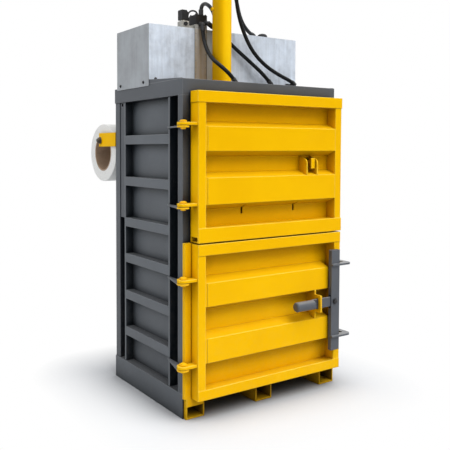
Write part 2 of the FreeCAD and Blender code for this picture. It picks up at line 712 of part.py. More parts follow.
def build_upper_door():
    frame = build_door_frame("upper_door", d.upper_low, d.upper_top, d.upper_low_beam, d.upper_top_beam)
    beam_low = d.upper_top - d.upper_top_beam
    right = (d.door_right, d.door_right + d.beam_past)
    ends = [box_loop((d.door_left - d.beam_past, d.door_left), (beam_low, d.upper_top)),
            box_loop(right, (beam_low, d.upper_top)),
            box_loop(right, (d.upper_low, d.upper_low + d.upper_low_beam))]
    pad(frame, sketch_on(frame, "upper_beam_end", "XZ_Plane", *ends, offset=-panel_front),
        panel_front - door_front + d.beam_proud)
    notch = box_loop((door_front + 8, panel_front + 1), (d.upper_low - 1, d.upper_low + d.side_notch))
    pocket(frame, sketch_on(frame, "upper_side_notch", "YZ_Plane", notch, offset=d.door_left - 1),
           d.tube_wall + 2, reverse=True)
    hang_door("upper_door", frame)

    panel = door_panel("upper_door_panel", d.upper_low, d.upper_top, strap_slots() + [TAB_SLOT])
    x, y, z = d.latch_x, d.door_back, d.latch_z
    stud = rod("latch_stud", d.bolt_radius, (x, y, z), ARM_GAP + ARM_THICK + 7, "y")
    shoulder = rod("latch_shoulder", 12, (x, y, z), ARM_GAP - 0.3, "y")
    head = rod("latch_head", 12, (x, y + ARM_GAP + ARM_THICK + 0.3, z), 6, "y")
    publish("upper_door_panel", fuse("upper_panel_weld", panel, stud, shoulder, head))
    ribs = door_ribs("upper_door_rib", [(d.upper_rib_one, d.upper_rib_one_high),
                                        (d.upper_rib_two, d.upper_rib_two_high)], stile_in_right, False)
    cutters = [block("rib_slot_%d" % i, x, (door_front - 1, d.door_back), z)
               for i, (x, z) in enumerate(strap_slots())]
    slotted = cut("upper_rib_slotted", ribs[0], *cutters)
    publish("upper_door_ribs", set_of("upper_rib_pair", slotted, ribs[1]))

    low, high = d.upper_rib_one + d.upper_rib_one_high, d.upper_rib_two
    cheeks = []
    for number, start in enumerate((225, 299)):
        body = new_body("cheek_%d" % number)
        pad(body, sketch_on(body, "cheek_side_%d" % number, "YZ_Plane", [
            (panel_front, low + d.flank_run), (door_front, low), (door_front, low + 80),
            (panel_front, high - d.flank_run)]), 8)
        round_off(body, 26, edge_at("x", y=door_front, z=low + 80))
        cheeks.append(move(body, start, 0, 0))
    publish("latch_cheeks", set_of("cheek_pair", *cheeks))

def build_latch():
    """Arm behind the upper door on the panel's stud; its finger tab reaches out through the panel."""
    arm_front = d.door_back + ARM_GAP
    arm = new_body("latch_arm_body")
    tall = d.latch_high / 2
    pad(arm, sketch_on(arm, "latch_arm_side", "XZ_Plane", box_loop((-24, d.latch_reach), (-tall, tall))),
        ARM_THICK, reverse=True)
    round_off(arm, 12, edge_at("y", x=d.latch_reach, z=-tall))
    pocket(arm, circle_on(arm, "latch_arm_bore", "XZ_Plane", (0, 0, d.bolt_radius + d.running_gap)), 60,
           midplane=True)
    arm.Placement = FreeCAD.Placement(vector(), FreeCAD.Rotation(vector(0, 1, 0), -d.latch_lift.value))
    move(arm, d.latch_x, arm_front, d.latch_z)
    neck = block("latch_neck", (272, 288), (-408, arm_front), (1224, 1243))
    tab = block("latch_tab", (268, 293), (-418, -408), (1198, 1254))
    publish("latch_arm", fuse("latch_arm_weld", arm, neck, tab))

# ---------------------------------------------------------------- lower door and its lock
bar_back = d.bar_front + d.bar_deep
bar_right = d.bar_left + d.bar_wide
GUIDE_LEVELS = (330, 620)
STUD_X = 417

def build_lower_door():
    """Door with blocks and headed studs on its sheet, which the lock bar slides on."""
    frame = build_door_frame("lower_door", d.lower_low, d.lower_top, d.lower_low_beam, d.lower_top_beam)
    hang_door("lower_door", frame)
    guides = []
    for level in GUIDE_LEVELS:
        name = "guide_%d" % level
        guides.append(block(name + "_block", (bar_right - 44, stile_in_right - 2),
                            (bar_back + 0.3, panel_front), (level - 20, level + 20)))
        guides.append(rod(name + "_stud", 5, (STUD_X, bar_back - 5, level), 10, "y"))
        guides.append(rod(name + "_head", 9, (STUD_X, bar_back - 10.5, level), 6, "y"))
    panel = door_panel("lower_door_panel", d.lower_low, d.lower_top, [])
    publish("lower_door_panel", fuse("lower_panel_weld", panel, *guides))
    ribs = door_ribs("lower_door_rib", [(d.lower_rib_one, d.lower_rib_one_high),
                                        (d.lower_rib_two, d.lower_rib_two_high)], d.lower_rib_end, True)
    publish("lower_door_ribs", set_of("lower_rib_pair", *ribs))

def build_keeper():
    """Plate between the ribs, with the eye that the lever swings in."""
    body = new_body("keeper_body")
    low, high = d.lower_rib_one + d.lower_rib_one_high, d.lower_rib_two
    tab_low, tab_high, tab_front = d.lever_z - 48, d.lever_z + 46, d.lever_y - 25
    side = [(panel_front, low + d.flank_run), (door_front, low), (door_front, tab_low), (tab_front, tab_low),
            (tab_front, tab_high), (door_front, tab_high), (door_front, high),
            (panel_front, high - d.flank_run)]
    eye = box_loop((d.lever_y - 8, d.lever_y + 8), (d.lever_z - 29, d.lever_z + 29))
    pad(body, sketch_on(body, "keeper_side", "YZ_Plane", side, eye), 10, midplane=True)
    round_off(body, 8, any_of(edge_at("x", y=tab_front, z=tab_low), edge_at("x", y=tab_front, z=tab_high)))
    publish("lock_keeper", move(body, d.lever_x, 0, 0))

def build_lock_bar():
    """Tube with two ears that wrap round its front and reach back beside the frame to the lock pins."""
    z = (d.bar_low, d.bar_low + d.bar_high)
    wall = d.tube_wall
    outside = block("bar_outside", (d.bar_left, bar_right), (d.bar_front, bar_back), z)
    inside = block("bar_inside", (d.bar_left + wall, bar_right - wall),
                   (d.bar_front + wall, bar_back - wall), (z[0] - 1, z[1] + 1))
    lever_slot = block("bar_lever_slot", (d.bar_left - 1, d.bar_left + wall + 1),
                       (d.lever_y - 7, d.lever_y + 7), (d.lever_z - 36, d.lever_z + 33))
    bolt_bore = rod("bar_bolt_bore", d.bolt_radius + d.running_gap, (d.bolt_x, d.bar_front - 1, d.lever_z),
                    d.bar_deep + 2, "y")
    slots = [block("bar_slot_%d" % level, (STUD_X - 6, STUD_X + 6), (bar_back - wall - 1, bar_back + 1),
                   (level - d.lock_lift - 7, level + 7)) for level in GUIDE_LEVELS]
    tube = cut("bar_tube", outside, inside, lever_slot, bolt_bore, *slots)
    front, tip, inner = d.bar_front - 10, d.lock_pin_x + 12, half + 2.5
    reach = d.lock_pin_radius + d.hook_play
    mouth = (d.lock_pin_y - reach, d.lock_pin_y + reach)
    finger = mouth[1] + 11
    ears = []
    for number in (0, 1):
        name = "ear_%d" % number
        body = new_body(name)
        pad(body, sketch_on(body, name + "_plan", "XY_Plane", [
            (d.bar_left, front), (tip, front), (tip, mouth[0]), (d.lock_pin_x - reach, mouth[0]),
            (d.lock_pin_x - reach, mouth[1]), (tip, mouth[1]), (tip, finger), (inner, finger),
            (inner, door_front - 4.5), (bar_right, door_front - 4.5), (bar_right, d.bar_front),
            (d.bar_left, d.bar_front)]), d.ear_thick)
        round_off(body, 30, edge_at("z", x=tip, y=front))
        round_off(body, 5, any_of(edge_at("z", x=tip, y=finger), edge_at("z", x=inner, y=finger)))
        ears.append(move(body, z=d.ear_low + d.ear_pitch * number))
    publish("lock_bar", set_of("bar_weld", tube, *ears))

    head = rod("bolt_head", 12, (d.bolt_x, d.bar_front - 8, d.lever_z), 8, "y")
    shank = rod("bolt_shank", d.bolt_radius, (d.bolt_x, d.bar_front - 4, d.lever_z), d.bar_deep + 3, "y")
    publish("lever_bolt", fuse("bolt_turned", head, shank))

def build_lever():
    """Flat lever through the keeper's eye, with a slot for the pivot bolt and a tube grip."""
    body = new_body("lever_body")
    tall = d.lever_high / 2
    reach, play = d.bolt_x - d.lever_x, d.bolt_radius + 0.8
    left, right = -42, reach + 20
    pad(body, sketch_on(body, "lever_side", "XZ_Plane", box_loop((left, right), (-tall, tall))),
        d.lever_thick, midplane=True)
    slot = box_loop((reach - play - 0.5, reach + play + 4.5), (-play, play))
    pocket(body, sketch_on(body, "lever_slot", "XZ_Plane", slot), 60, midplane=True)
    round_off(body, 10, any_of(edge_at("y", x=right, z=tall), edge_at("y", x=right, z=-tall)))
    publish("lock_lever", move(body, d.lever_x, d.lever_y, d.lever_z))

    grip = new_body("grip_body")
    rim, bore, end = d.grip_radius, d.grip_radius - d.tube_wall, 123
    revolve(grip, "grip_section", [(0, 0), (rim - 11, 0), (rim - 4, 3), (rim, 9), (rim, end), (4, end),
                                   (4, end - 5), (bore, end - 5), (bore, 10), (rim - 12, 4), (0, 4)])
    grip.Placement = FreeCAD.Placement(vector(), FreeCAD.Rotation(vector(0, 1, 0), 90))
    publish("lever_grip", move(grip, d.lever_x - 165, d.lever_y - 5, d.lever_z))

# ---------------------------------------------------------------- press
def build_cylinder():
    x, y = d.cylinder_x, d.cylinder_y
    low, top = d.barrel_low, d.barrel_low + d.barrel_high
    barrel = new_body("barrel_body")
    revolve(barrel, "barrel_section", box_loop((d.bore_radius, d.barrel_radius), (0, d.barrel_high)))
    move(barrel, x, y, low)
    boss = rod("barrel_boss", 9, (x - d.barrel_radius - 9, y + 12, 2040), 30, "x")
    clear = rod("barrel_boss_clear", d.bore_radius + 1, (x, y, 2000), 80)
    publish("cylinder_barrel", fuse("barrel_weld", barrel, cut("barrel_boss_cut", boss, clear)))

    head = new_body("head_body")
    wide = d.flange_wide / 2
    pad(head, sketch_on(head, "head_flange", "XY_Plane", box_loop((-wide, wide), (-wide, wide))),
        d.flange_high)
    pad(head, circle_on(head, "head_neck", "XY_Plane", (0, 0, d.barrel_radius - 1)), d.flange_high * 1.5,
        reverse=True)
    pocket(head, circle_on(head, "head_bore", "XY_Plane", (0, 0, d.rod_radius + d.running_gap)), 200,
           midplane=True)
    publish("cylinder_head", move(head, x, y, low - d.flange_high))

    bolts = []
    for number in range(4):
        turn = math.radians(45 + 90 * number)
        place = (x + 87 * math.cos(turn), y + 87 * math.sin(turn), low)
        bolts.append(rod("head_bolt_%d" % number, 11, place, 10))
    publish("head_bolts", set_of("head_bolt_set", *bolts))

    cap = new_body("cap_body")
    port_y = (-36, 46)
    pad(cap, circle_on(cap, "cap_disc", "XY_Plane", (0, 0, d.barrel_radius)), d.cap_high)
    pad(cap, sketch_on(cap, "cap_port_block", "XY_Plane", box_loop((20, d.barrel_radius + 12), port_y)),
        d.cap_high)
    round_off(cap, 2, any_of(*[edge_at("z", x=d.barrel_radius + 12, y=edge) for edge in port_y]))
    publish("cylinder_cap", move(cap, x, y, top))

def beam_tube(name, x, y, z, along):
    """Square tube beam of the ram, open at both ends."""
    wall = d.tube_wall
    outside = block(name + "_outside", x, y, z)
    hollow = {"x": (x[0] + wall, x[1] - wall), "y": (y[0] + wall, y[1] - wall)}
    ends = {"x": x, "y": y}[along]
    hollow[along] = (ends[0] - 1, ends[1] + 1)
    return cut(name, outside, block(name + "_inside", hollow["x"], hollow["y"], (z[0] + wall, z[1] - wall)))

def build_ram():
    x, y = d.cylinder_x, d.cylinder_y
    low, plate_top = d.platen_low, d.platen_low + d.platen_thick
    z = (plate_top, plate_top + d.platen_beam)
    wide, side = d.platen_beam_wide, d.platen_half
    front, rear = d.platen_front, d.platen_front + d.platen_deep

    plate = new_body("platen_body")
    pad(plate, sketch_on(plate, "platen_edge", "XZ_Plane", box_loop((-side, side), (0, d.platen_thick)),
                         offset=-rear), d.platen_deep)
    groove_row(plate, "platen_groove", -1, d.groove_deep, depth * 2)
    publish("platen", move(plate, z=low))

    inner = side - wide
    boss_half = 45
    beams = [beam_tube("ram_rail_left", (-side, -inner), (front, rear), z, "y"),
             beam_tube("ram_rail_right", (inner, side), (front, rear), z, "y")]
    for label, start in (("front", y - boss_half - wide), ("middle", y + boss_half), ("rear", rear - 70)):
        beams.append(beam_tube("ram_beam_" + label, (-inner, inner), (start, start + wide), z, "x"))
    boss = block("ram_boss", (x - boss_half, x + boss_half), (y - boss_half, y + boss_half), z)
    socket = rod("ram_socket", d.rod_radius + d.running_gap, (x, y, z[0] - 1), d.platen_beam + 2)
    pin_z = plate_top + d.platen_beam / 2
    pin_bore = rod("ram_pin_bore", 8 + d.running_gap, (x - boss_half - 1, y, pin_z), boss_half * 2 + 2, "x")
    beams.append(cut("ram_boss_bored", boss, socket, pin_bore))
    publish("platen_beams", set_of("ram_weld", *beams))

    shaft = rod("piston_rod_bar", d.rod_radius, (x, y, plate_top), d.rod_high)
    cross = rod("piston_rod_bore", 8 + d.running_gap, (x - 60, y, pin_z), 120, "x")
    publish("piston_rod", cut("piston_rod_drilled", shaft, cross))
    publish("rod_pin", rod("rod_pin_bar", 8, (x - boss_half, y, pin_z), boss_half * 2, "x"))

    piston = new_body("piston_body")
    rim, high = d.bore_radius - d.running_gap, d.piston_high
    revolve(piston, "piston_section", [(0, 0), (rim, 0), (rim, 14), (rim - 5, 14), (rim - 5, 22), (rim, 22),
                                       (rim, high), (0, high)])
    publish("piston", move(piston, x, y, plate_top + d.rod_high))

    pads = []
    for label, start in (("left", -side - 11), ("right", side)):
        for place, near in (("front", front + 60), ("rear", rear - 140)):
            pads.append(block("ram_pad_%s_%s" % (label, place), (start, start + 11), (near, near + 80),
                              (low + 4, z[1])))
    publish("guide_pads", set_of("guide_pad_set", *pads))

# ---------------------------------------------------------------- power pack
def build_cover():
    """Folded galvanised box, open below, with side skirts outside the frame's upstands."""
    wide, t = d.cover_half, d.cover_sheet
    y, top = (d.cover_front, d.cover_rear), d.cover_top
    low = d.frame_height - d.cover_lap
    past = (y[0] - 1, y[1] + 1)
    shell = block("cover_shell", (-wide, wide), y, (low, top))
    hollow = block("cover_hollow", (t - wide, wide - t), (y[0] + t, y[1] - t), (low - 1, top - t))
    ends = block("cover_ends_cut", (t - wide, wide - t), past, (low - 1, d.frame_height + 0.5))
    tools = [hollow, ends]
    lip = half - d.tube_wall - 0.5
    for label, x in (("left", (t - wide, -lip)), ("right", (lip, wide - t))):
        tools.append(block("cover_lip_cut_" + label, x, past, (low - 1, d.frame_height + d.lip_high + 1)))
    tools += bolt_bores("cover")
    for label, x in (("left", -FRONT_BOLT_X), ("right", FRONT_BOLT_X)):
        tools.append(rod("cover_front_bore_" + label, BOLT_BORE, (x, y[0] - 5, FRONT_BOLT_Z), 12, "y"))
    body = cut("cover_folded", shell, *tools)
    lap = block("cover_lap_strip", (-222, -139), (y[0] - 1.5, y[0]), (d.frame_height + 1, top - 1))
    publish("power_cover", fuse("cover_riveted", body, lap))

def build_cover_bolts():
    bolts = []
    for label, side in (("left", -1), ("right", 1)):
        face = side * d.cover_half
        head_start, shank_start = (face, face - 10) if side > 0 else (face - 6, face - 1)
        for place in BOLT_Y:
            name = "cover_bolt_%s_%d" % (label, place)
            head = rod(name + "_head", 6.5, (head_start, place, COVER_BOLT_Z), 6, "x")
            shank = rod(name + "_shank", 3, (shank_start, place, COVER_BOLT_Z), 11, "x")
            bolts.append(fuse(name, head, shank))
        name = "cover_front_bolt_" + label
        x = side * FRONT_BOLT_X
        head = rod(name + "_head", 6.5, (x, d.cover_front - 6, FRONT_BOLT_Z), 6, "y")
        shank = rod(name + "_shank", 3, (x, d.cover_front - 1, FRONT_BOLT_Z), 12, "y")
        bolts.append(fuse(name, head, shank))
    publish("cover_bolts", set_of("cover_bolt_set", *bolts))

def build_power_pack():
    """Oil tank and upright motor with its pump, under the cover."""
    deck_top = d.frame_height - d.deck_drop
    tank = new_body("tank_body")
    pad(tank, sketch_on(tank, "tank_plan", "XY_Plane", box_loop((-40, 430), (0, 270))), 250)
    round_off(tank, 6, lambda edge: runs(edge, "z"))
    pocket(tank, sketch_on(tank, "tank_inside", "XY_Plane", box_loop((-37, 427), (3, 267)), offset=250), 247)
    lid = block("tank_lid", (-40, 430), (0, 270), (deck_top + 250, deck_top + 254))
    publish("oil_tank", fuse("tank_closed", move(tank, z=deck_top), lid))

    motor = new_body("motor_body")
    revolve(motor, "motor_section", [(0, 0), (48, 0), (48, 60), (80, 60), (80, 76), (72, 76), (72, 236),
                                     (60, 250), (0, 250)])
    publish("pump_motor", move(motor, -250, 130, deck_top))

MANIFOLD_HIGH = 24
VALVE_HIGH = 54
VALVE_FACE = 32
VALVE_LEFT = -210
VALVE_RIGHT = -136
COIL_X = -268
GLAND_X = -240

def build_valves():
    """Manifold with two solenoid coils on the cover, and the tank's breather."""
    z = d.cover_top
    manifold = new_body("manifold_body")
    plan = box_loop((VALVE_LEFT - 2, VALVE_RIGHT), (-VALVE_FACE, VALVE_FACE))
    pad(manifold, sketch_on(manifold, "manifold_plan", "XY_Plane", plan), MANIFOLD_HIGH)
    pad(manifold, sketch_on(manifold, "manifold_spigot", "XY_Plane",
                            box_loop((COIL_X + 22, VALVE_LEFT - 2), (-12, 12))), 18)
    pad(manifold, sketch_on(manifold, "coil_housing", "XY_Plane",
                            box_loop((COIL_X - 22, COIL_X + 22), (-22, 22))), 38)
    pad(manifold, circle_on(manifold, "coil_core", "XY_Plane", (COIL_X, 0, 14)), 44)
    publish("valve_manifold", move(manifold, z=z))

    plug = new_body("plug_body")
    pad(plug, sketch_on(plug, "plug_side", "XZ_Plane", [
        (-21, 0), (20, 0), (20, 38), (8, 52), (-21, 52)]), 42, midplane=True)
    move(plug, COIL_X, 0, z + 44)
    gland_arm = block("gland_arm", (COIL_X + 20, GLAND_X), (-7, 7), (z + 46, z + 56))
    gland = rod("gland", 7.5, (GLAND_X, 0, z + 42), 18)
    publish("coil_plug", fuse("plug_moulded", plug, gland_arm, gland))

    valve = new_body("valve_body")
    side = box_loop((VALVE_LEFT, VALVE_RIGHT), (0, VALVE_HIGH))
    pad(valve, sketch_on(valve, "valve_side", "XZ_Plane", side), VALVE_FACE * 2, midplane=True)
    round_off(valve, 5, lambda edge: runs(edge, "y"))
    publish("valve_block", move(valve, z=z + MANIFOLD_HIGH))

    cap = new_body("breather_body")
    revolve(cap, "breather_section", [(0, 0), (15, 0), (15, 14), (30, 14), (30, 18), (26, 28), (16, 35),
                                      (0, 38)])
    publish("breather_cap", move(cap, 328, 60, z))

# ---------------------------------------------------------------- hoses
HOSES = {
    "hose_return": [(-166, -18, 2034), (-166, -18, 2058), (-148, -6, 2086), (-96, 30, 2104), (-34, 66, 2090),
                    (6, 90, 2046), (18, 99, 2008), (20, 101, 1982)],
    "hose_feed": [(-130, -52, 1970), (-88, -54, 1944), (-22, -55, 1900), (56, -57, 1845), (136, -72, 1785),
                  (222, -92, 1714), (266, -86, 1677)],
    "hose_head": [(-181, -57, 1952), (-180, -59, 1910), (-179, -76, 1856), (-187, -122, 1802),
                  (-190, -172, 1762), (-160, -210, 1722), (-112, -220, 1682), (-88.6, -220, 1654)],
    "hose_cap_front": [(-24, -142, 2495), (-24, -141, 2410), (-22, -137, 2305), (-15, -126, 2200),
                       (2, -112, 2085), (44, -101, 1972), (118, -95, 1852), (214, -100, 1770),
                       (320, -116, 1716), (378, -128, 1693), (418, -112, 1680)],
    "hose_cap_rear": [(-24, -98, 2495), (-24, -97, 2410), (-20, -94, 2310), (-6, -88, 2205),
                      (28, -80, 2106), (58, -66, 2040), (100, -45, 1998), (150, -18, 1976), (196, 8, 1964),
                      (232, 30, 1961)],
    "valve_cable": [(-240, 0, 2005), (-240, 0, 2023), (-227, 0, 2041), (-205, 0, 2048), (-184, 0, 2043),
                    (-180, 0, 2031), (-180, 0, 2023.3)],
}

def rounded_wire(points):
    """Straight runs joined by tangent arcs, each taking 0.45 of the shorter run beside it."""
    corners = [vector(*point) for point in points]
    edges, radii, last = [], [], corners[0]
    for before, corner, after in zip(corners, corners[1:], corners[2:]):
        come, go = (before - corner).normalize(), (after - corner).normalize()
        reach = 0.45 * min((before - corner).Length, (after - corner).Length)
        half_turn = (math.pi - come.getAngle(go)) / 2
        radius = reach / math.tan(half_turn)
        start, end = corner + come * reach, corner + go * reach
        inward = (come + go).normalize()
        middle = corner + inward * (radius / math.cos(half_turn) - radius)
        edges += [Part.LineSegment(last, start).toShape(), Part.Arc(start, middle, end).toShape()]
        radii.append(radius)
        last = end
    edges.append(Part.LineSegment(last, corners[-1]).toShape())
    return Part.Wire(edges), radii

def build_hose(node, points, radius):
    wire, radii = rounded_wire(points)
    spine = doc.addObject("Part::Feature", node + "_route")
    spine.Shape = wire
    profile = doc.addObject("Part::Circle", node + "_section")
    profile.setExpression("Radius", radius.text)
    heading = vector(*points[1]) - vector(*points[0])
    profile.Placement = FreeCAD.Placement(vector(*points[0]), FreeCAD.Rotation(vector(0, 0, 1), heading))
    sweep = doc.addObject("Part::Sweep", node + "_sweep")
    sweep.Sections = [profile]
    sweep.Spine = (spine, ["Edge%d" % i for i in range(1, len(wire.Edges) + 1)])
    sweep.Solid = True
    sweep.Frenet = False
    publish(node, sweep)
    doc.recompute()
    full = math.pi * radius.value ** 2 * wire.Length
    print("%-15s length %.0f, volume %.3f of section x length, radii %s" %
          (node, wire.Length, sweep.Shape.Volume / full, " ".join("%.0f" % radius for radius in radii)))

def fitting(name, points, at_start, stub_axis, surface):
    """Sleeve in line with the hose, elbow ball and stub that ties it to a surface across the stub's axis."""
    end, before = (points[0], points[1]) if at_start else (points[-1], points[-2])
    start = vector(*end)
    way = (start - vector(*before)).normalize()
    sleeve = doc.addObject("Part::Cylinder", name + "_sleeve")
    sleeve.setExpression("Radius", (d.hose_radius + 2.5).text)
    sleeve.Height = 20
    sleeve.Placement = FreeCAD.Placement(start, FreeCAD.Rotation(vector(0, 0, 1), way))
    knee = start + way * 20
    elbow = ball(name + "_elbow", d.hose_radius + 3, tuple(knee))
    axis = "xyz".index(stub_axis)
    foot = list(knee)
    length = surface - foot[axis]
    if length < 0:
        foot[axis] = surface
    stub = rod(name + "_stub", d.hose_radius + 1, tuple(foot), abs(length), stub_axis)
    return fuse(name, sleeve, elbow, stub)

def build_hoses():
    for node, points in HOSES.items():
        build_hose(node, points, d.cable_radius if node == "valve_cable" else d.hose_radius)

def build_fittings():
    """Hose ends: elbows on the cover, the valve block, the cylinder's flange and its cap."""
    top, front = d.cover_top.value, d.cover_front.value
    block_top = top + MANIFOLD_HIGH + VALVE_HIGH
    cap_face = (d.cylinder_x + d.barrel_radius + 12).value
    flange_face = (d.cylinder_y - d.flange_wide / 2).value
    first = HOSES["hose_return"][0]
    rise = first[2] - block_top
    ends = [rod("end_return_top", d.hose_radius + 2.5, (first[0], first[1], block_top), rise),
            fitting("end_return_low", HOSES["hose_return"], False, "z", top),
            fitting("end_feed_top", HOSES["hose_feed"], True, "y", -VALVE_FACE),
            fitting("end_feed_low", HOSES["hose_feed"], False, "y", front),
            fitting("end_head_top", HOSES["hose_head"], True, "y", -VALVE_FACE),
            fitting("end_head_low", HOSES["hose_head"], False, "y", flange_face),
            fitting("end_front_top", HOSES["hose_cap_front"], True, "x", cap_face),
            fitting("end_front_low", HOSES["hose_cap_front"], False, "y", front),
            fitting("end_rear_top", HOSES["hose_cap_rear"], True, "x", cap_face),
            fitting("end_rear_low", HOSES["hose_cap_rear"], False, "z", top)]
    publish("hose_fittings", set_of("hose_fitting_set", *ends))

# ---------------------------------------------------------------- strap roll
def build_strap_roll():
    y, z = d.spindle_y, d.spindle_z
    left = (-half, d.arm_thick - half)
    right = (-288, d.arm_thick - 288)
    arms = [block("arm_" + label, x, (depth, y + 24), (z - 42, z + 38))
            for label, x in (("left", left), ("right", right))]
    bar = rod("spindle_bar", d.spindle_radius, (left[0], y, z), right[1] - left[0], "x")
    head = rod("spindle_head", 20, (left[0] - 5, y, z - 5), 5, "x")
    publish("roll_bracket", fuse("roll_bracket_weld", bar, head, *arms))

    centre_z = z + d.spindle_radius + 0.3 - d.core_bore
    rim = d.core_bore + d.core_wall
    for node, inside, outside in (("roll_core", d.core_bore, rim), ("strap_roll", rim + 0.3, d.roll_radius)):
        body = new_body(node + "_body")
        pad(body, circle_on(body, node + "_ring", "YZ_Plane", (0, 0, outside), (0, 0, inside)), d.roll_wide)
        publish(node, move(body, d.roll_left, y, centre_z))

# ---------------------------------------------------------------- assembly
def export():
    doc.recompute()
    for item in doc.Objects:
        if "Invalid" in item.State or "Error" in item.State:
            raise ValueError("failed: " + item.Name)
    for node, item in nodes.items():
        shape = item.Shape
        if shape.isNull() or not shape.isValid() or not shape.Solids:
            raise ValueError("bad shape: " + node)
    os.makedirs("parts", exist_ok=True)
    for node, item in nodes.items():
        item.Shape.exportStep("parts/%s.step" % node)
    print("sub-parts:", len(nodes))

build_side_wall("side_wall_left", -1)
build_side_wall("side_wall_right", 1)
build_posts()
build_groove_covers()
build_top_frame()
build_cover_lips()
build_rear_wall()
build_base()
build_hinge_lugs()
build_lock_lugs()
build_latch_catch()
build_upper_door()
build_latch()
build_lower_door()
build_keeper()
build_lock_bar()
build_lever()
build_cylinder()
build_ram()
build_cover()
build_cover_bolts()
build_power_pack()
build_valves()
build_hoses()
build_fittings()
build_strap_roll()
export()
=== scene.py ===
import json
import math

import bmesh
import bpy
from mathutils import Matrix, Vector


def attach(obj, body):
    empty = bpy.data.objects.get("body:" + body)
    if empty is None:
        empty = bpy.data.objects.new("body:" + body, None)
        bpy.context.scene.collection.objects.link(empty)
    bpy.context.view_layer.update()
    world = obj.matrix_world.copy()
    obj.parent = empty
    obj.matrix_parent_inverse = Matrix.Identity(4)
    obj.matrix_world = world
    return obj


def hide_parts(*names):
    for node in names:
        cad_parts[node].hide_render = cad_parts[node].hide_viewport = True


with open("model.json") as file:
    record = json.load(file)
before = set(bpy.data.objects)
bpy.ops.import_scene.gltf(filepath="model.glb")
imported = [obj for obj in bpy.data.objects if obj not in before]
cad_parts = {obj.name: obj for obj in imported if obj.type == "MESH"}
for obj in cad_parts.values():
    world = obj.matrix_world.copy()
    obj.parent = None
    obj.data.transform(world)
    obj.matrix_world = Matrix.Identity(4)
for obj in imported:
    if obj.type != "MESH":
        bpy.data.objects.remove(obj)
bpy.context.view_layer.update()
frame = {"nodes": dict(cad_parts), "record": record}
print("frame loaded,", len(frame["nodes"]), "sub-parts")

# everything is in metres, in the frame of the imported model: +X right, -Y to the front, +Z up


# small helpers for node trees
def addNode(tree, kind, inputs=None, **settings):
    node = tree.nodes.new(kind)
    for key, value in settings.items():
        setattr(node, key, value)
    for key, value in (inputs or {}).items():
        feed(tree, node.inputs[key], value)
    return node


def feed(tree, socket, value):
    # a socket is linked, anything else is set
    if isinstance(value, bpy.types.NodeSocket):
        tree.links.new(value, socket)
    else:
        socket.default_value = value


def calc(tree, operation, first, second=0.0, clamp=False):
    node = addNode(tree, "ShaderNodeMath", {0: first, 1: second}, operation=operation,
                   use_clamp=clamp)
    return node.outputs[0]


def times(tree, first, second):
    return calc(tree, "MULTIPLY", first, second)


def plus(tree, first, second):
    return calc(tree, "ADD", first, second)


def vectorCalc(tree, operation, first, second=(0, 0, 0), output=0):
    node = addNode(tree, "ShaderNodeVectorMath", {0: first, 1: second}, operation=operation)
    return node.outputs[output]


def remap(tree, value, low, high, newLow=0.0, newHigh=1.0):
    inputs = {"Value": value, "From Min": low, "From Max": high, "To Min": newLow,
              "To Max": newHigh}
    return addNode(tree, "ShaderNodeMapRange", inputs, clamp=True).outputs["Result"]


def mixColour(tree, factor, first, second):
    node = addNode(tree, "ShaderNodeMix", data_type="RGBA")
    feed(tree, node.inputs[0], factor)
    feed(tree, node.inputs[6], first)
    feed(tree, node.inputs[7], second)
    return node.outputs[2]


def over(tree, tone, mask, share, colour):
    # lays a colour over a tone, by a mask and the mask's share
    return mixColour(tree, times(tree, mask, share), tone, colour)


def objectPlace(tree):
    return addNode(tree, "ShaderNodeTexCoord").outputs["Object"]


def noise(tree, place, scale, detail=3.0, roughness=0.55):
    inputs = {"Vector": place, "Scale": scale, "Detail": detail, "Roughness": roughness}
    return addNode(tree, "ShaderNodeTexNoise", inputs).outputs["Fac"]


def bump(tree, height, distance, strength=1.0, **normal):
    inputs = {"Strength": strength, "Distance": distance, "Height": height, **normal}
    return addNode(tree, "ShaderNodeBump", inputs).outputs["Normal"]


def stretched(tree, place, scale):
    return addNode(tree, "ShaderNodeMapping", {"Vector": place, "Scale": scale}).outputs["Vector"]


def apart(tree, place):
    return addNode(tree, "ShaderNodeSeparateXYZ", {0: place}).outputs


def within(tree, value, middle, reach, soft):
    # 1 where value is inside middle +- reach, with a soft border
    away = calc(tree, "ABSOLUTE", calc(tree, "SUBTRACT", value, middle))
    return remap(tree, away, reach + soft, reach)


def fromAxis(tree, across, middle):
    # distance from a line through middle; across names the two axes it is measured on
    place = apart(tree, objectPlace(tree))
    first, second = [calc(tree, "SUBTRACT", place[axis], value)
                     for axis, value in zip(across, middle)]
    return calc(tree, "SQRT", plus(tree, times(tree, first, first), times(tree, second, second)))


def colour(red, green, blue):
    return (red, green, blue, 1.0)


def makeGroup(name, inputs, outputs):
    tree = bpy.data.node_groups.new(name, "ShaderNodeTree")
    for label, value in inputs.items():
        socket = tree.interface.new_socket(label, in_out="INPUT", socket_type="NodeSocketFloat")
        socket.default_value = value
    for label, kind in outputs.items():
        tree.interface.new_socket(label, in_out="OUTPUT", socket_type="NodeSocket" + kind)
    return tree, tree.nodes.new("NodeGroupInput").outputs, tree.nodes.new("NodeGroupOutput").inputs


def placeGroup(tree, group, **values):
    node = tree.nodes.new("ShaderNodeGroup")
    node.node_tree = group
    for key, value in values.items():
        feed(tree, node.inputs[key], value)
    return node.outputs


# shared effects; numbers in brackets go to remap, noise, within or stretched in their own order
edgeLook = {
    "turned": (0.995, 0.86),  # how well the rounded normal agrees with the face's own
    "bright": (-0.35, 0.45, 0.25, 1.0),  # painted edge highlights are weaker on edges that look down
    "above": (0.6, 0.95),
    "below": (-0.2, -0.6),
    "grainDetail": 2.0,
    "samples": 6,
}


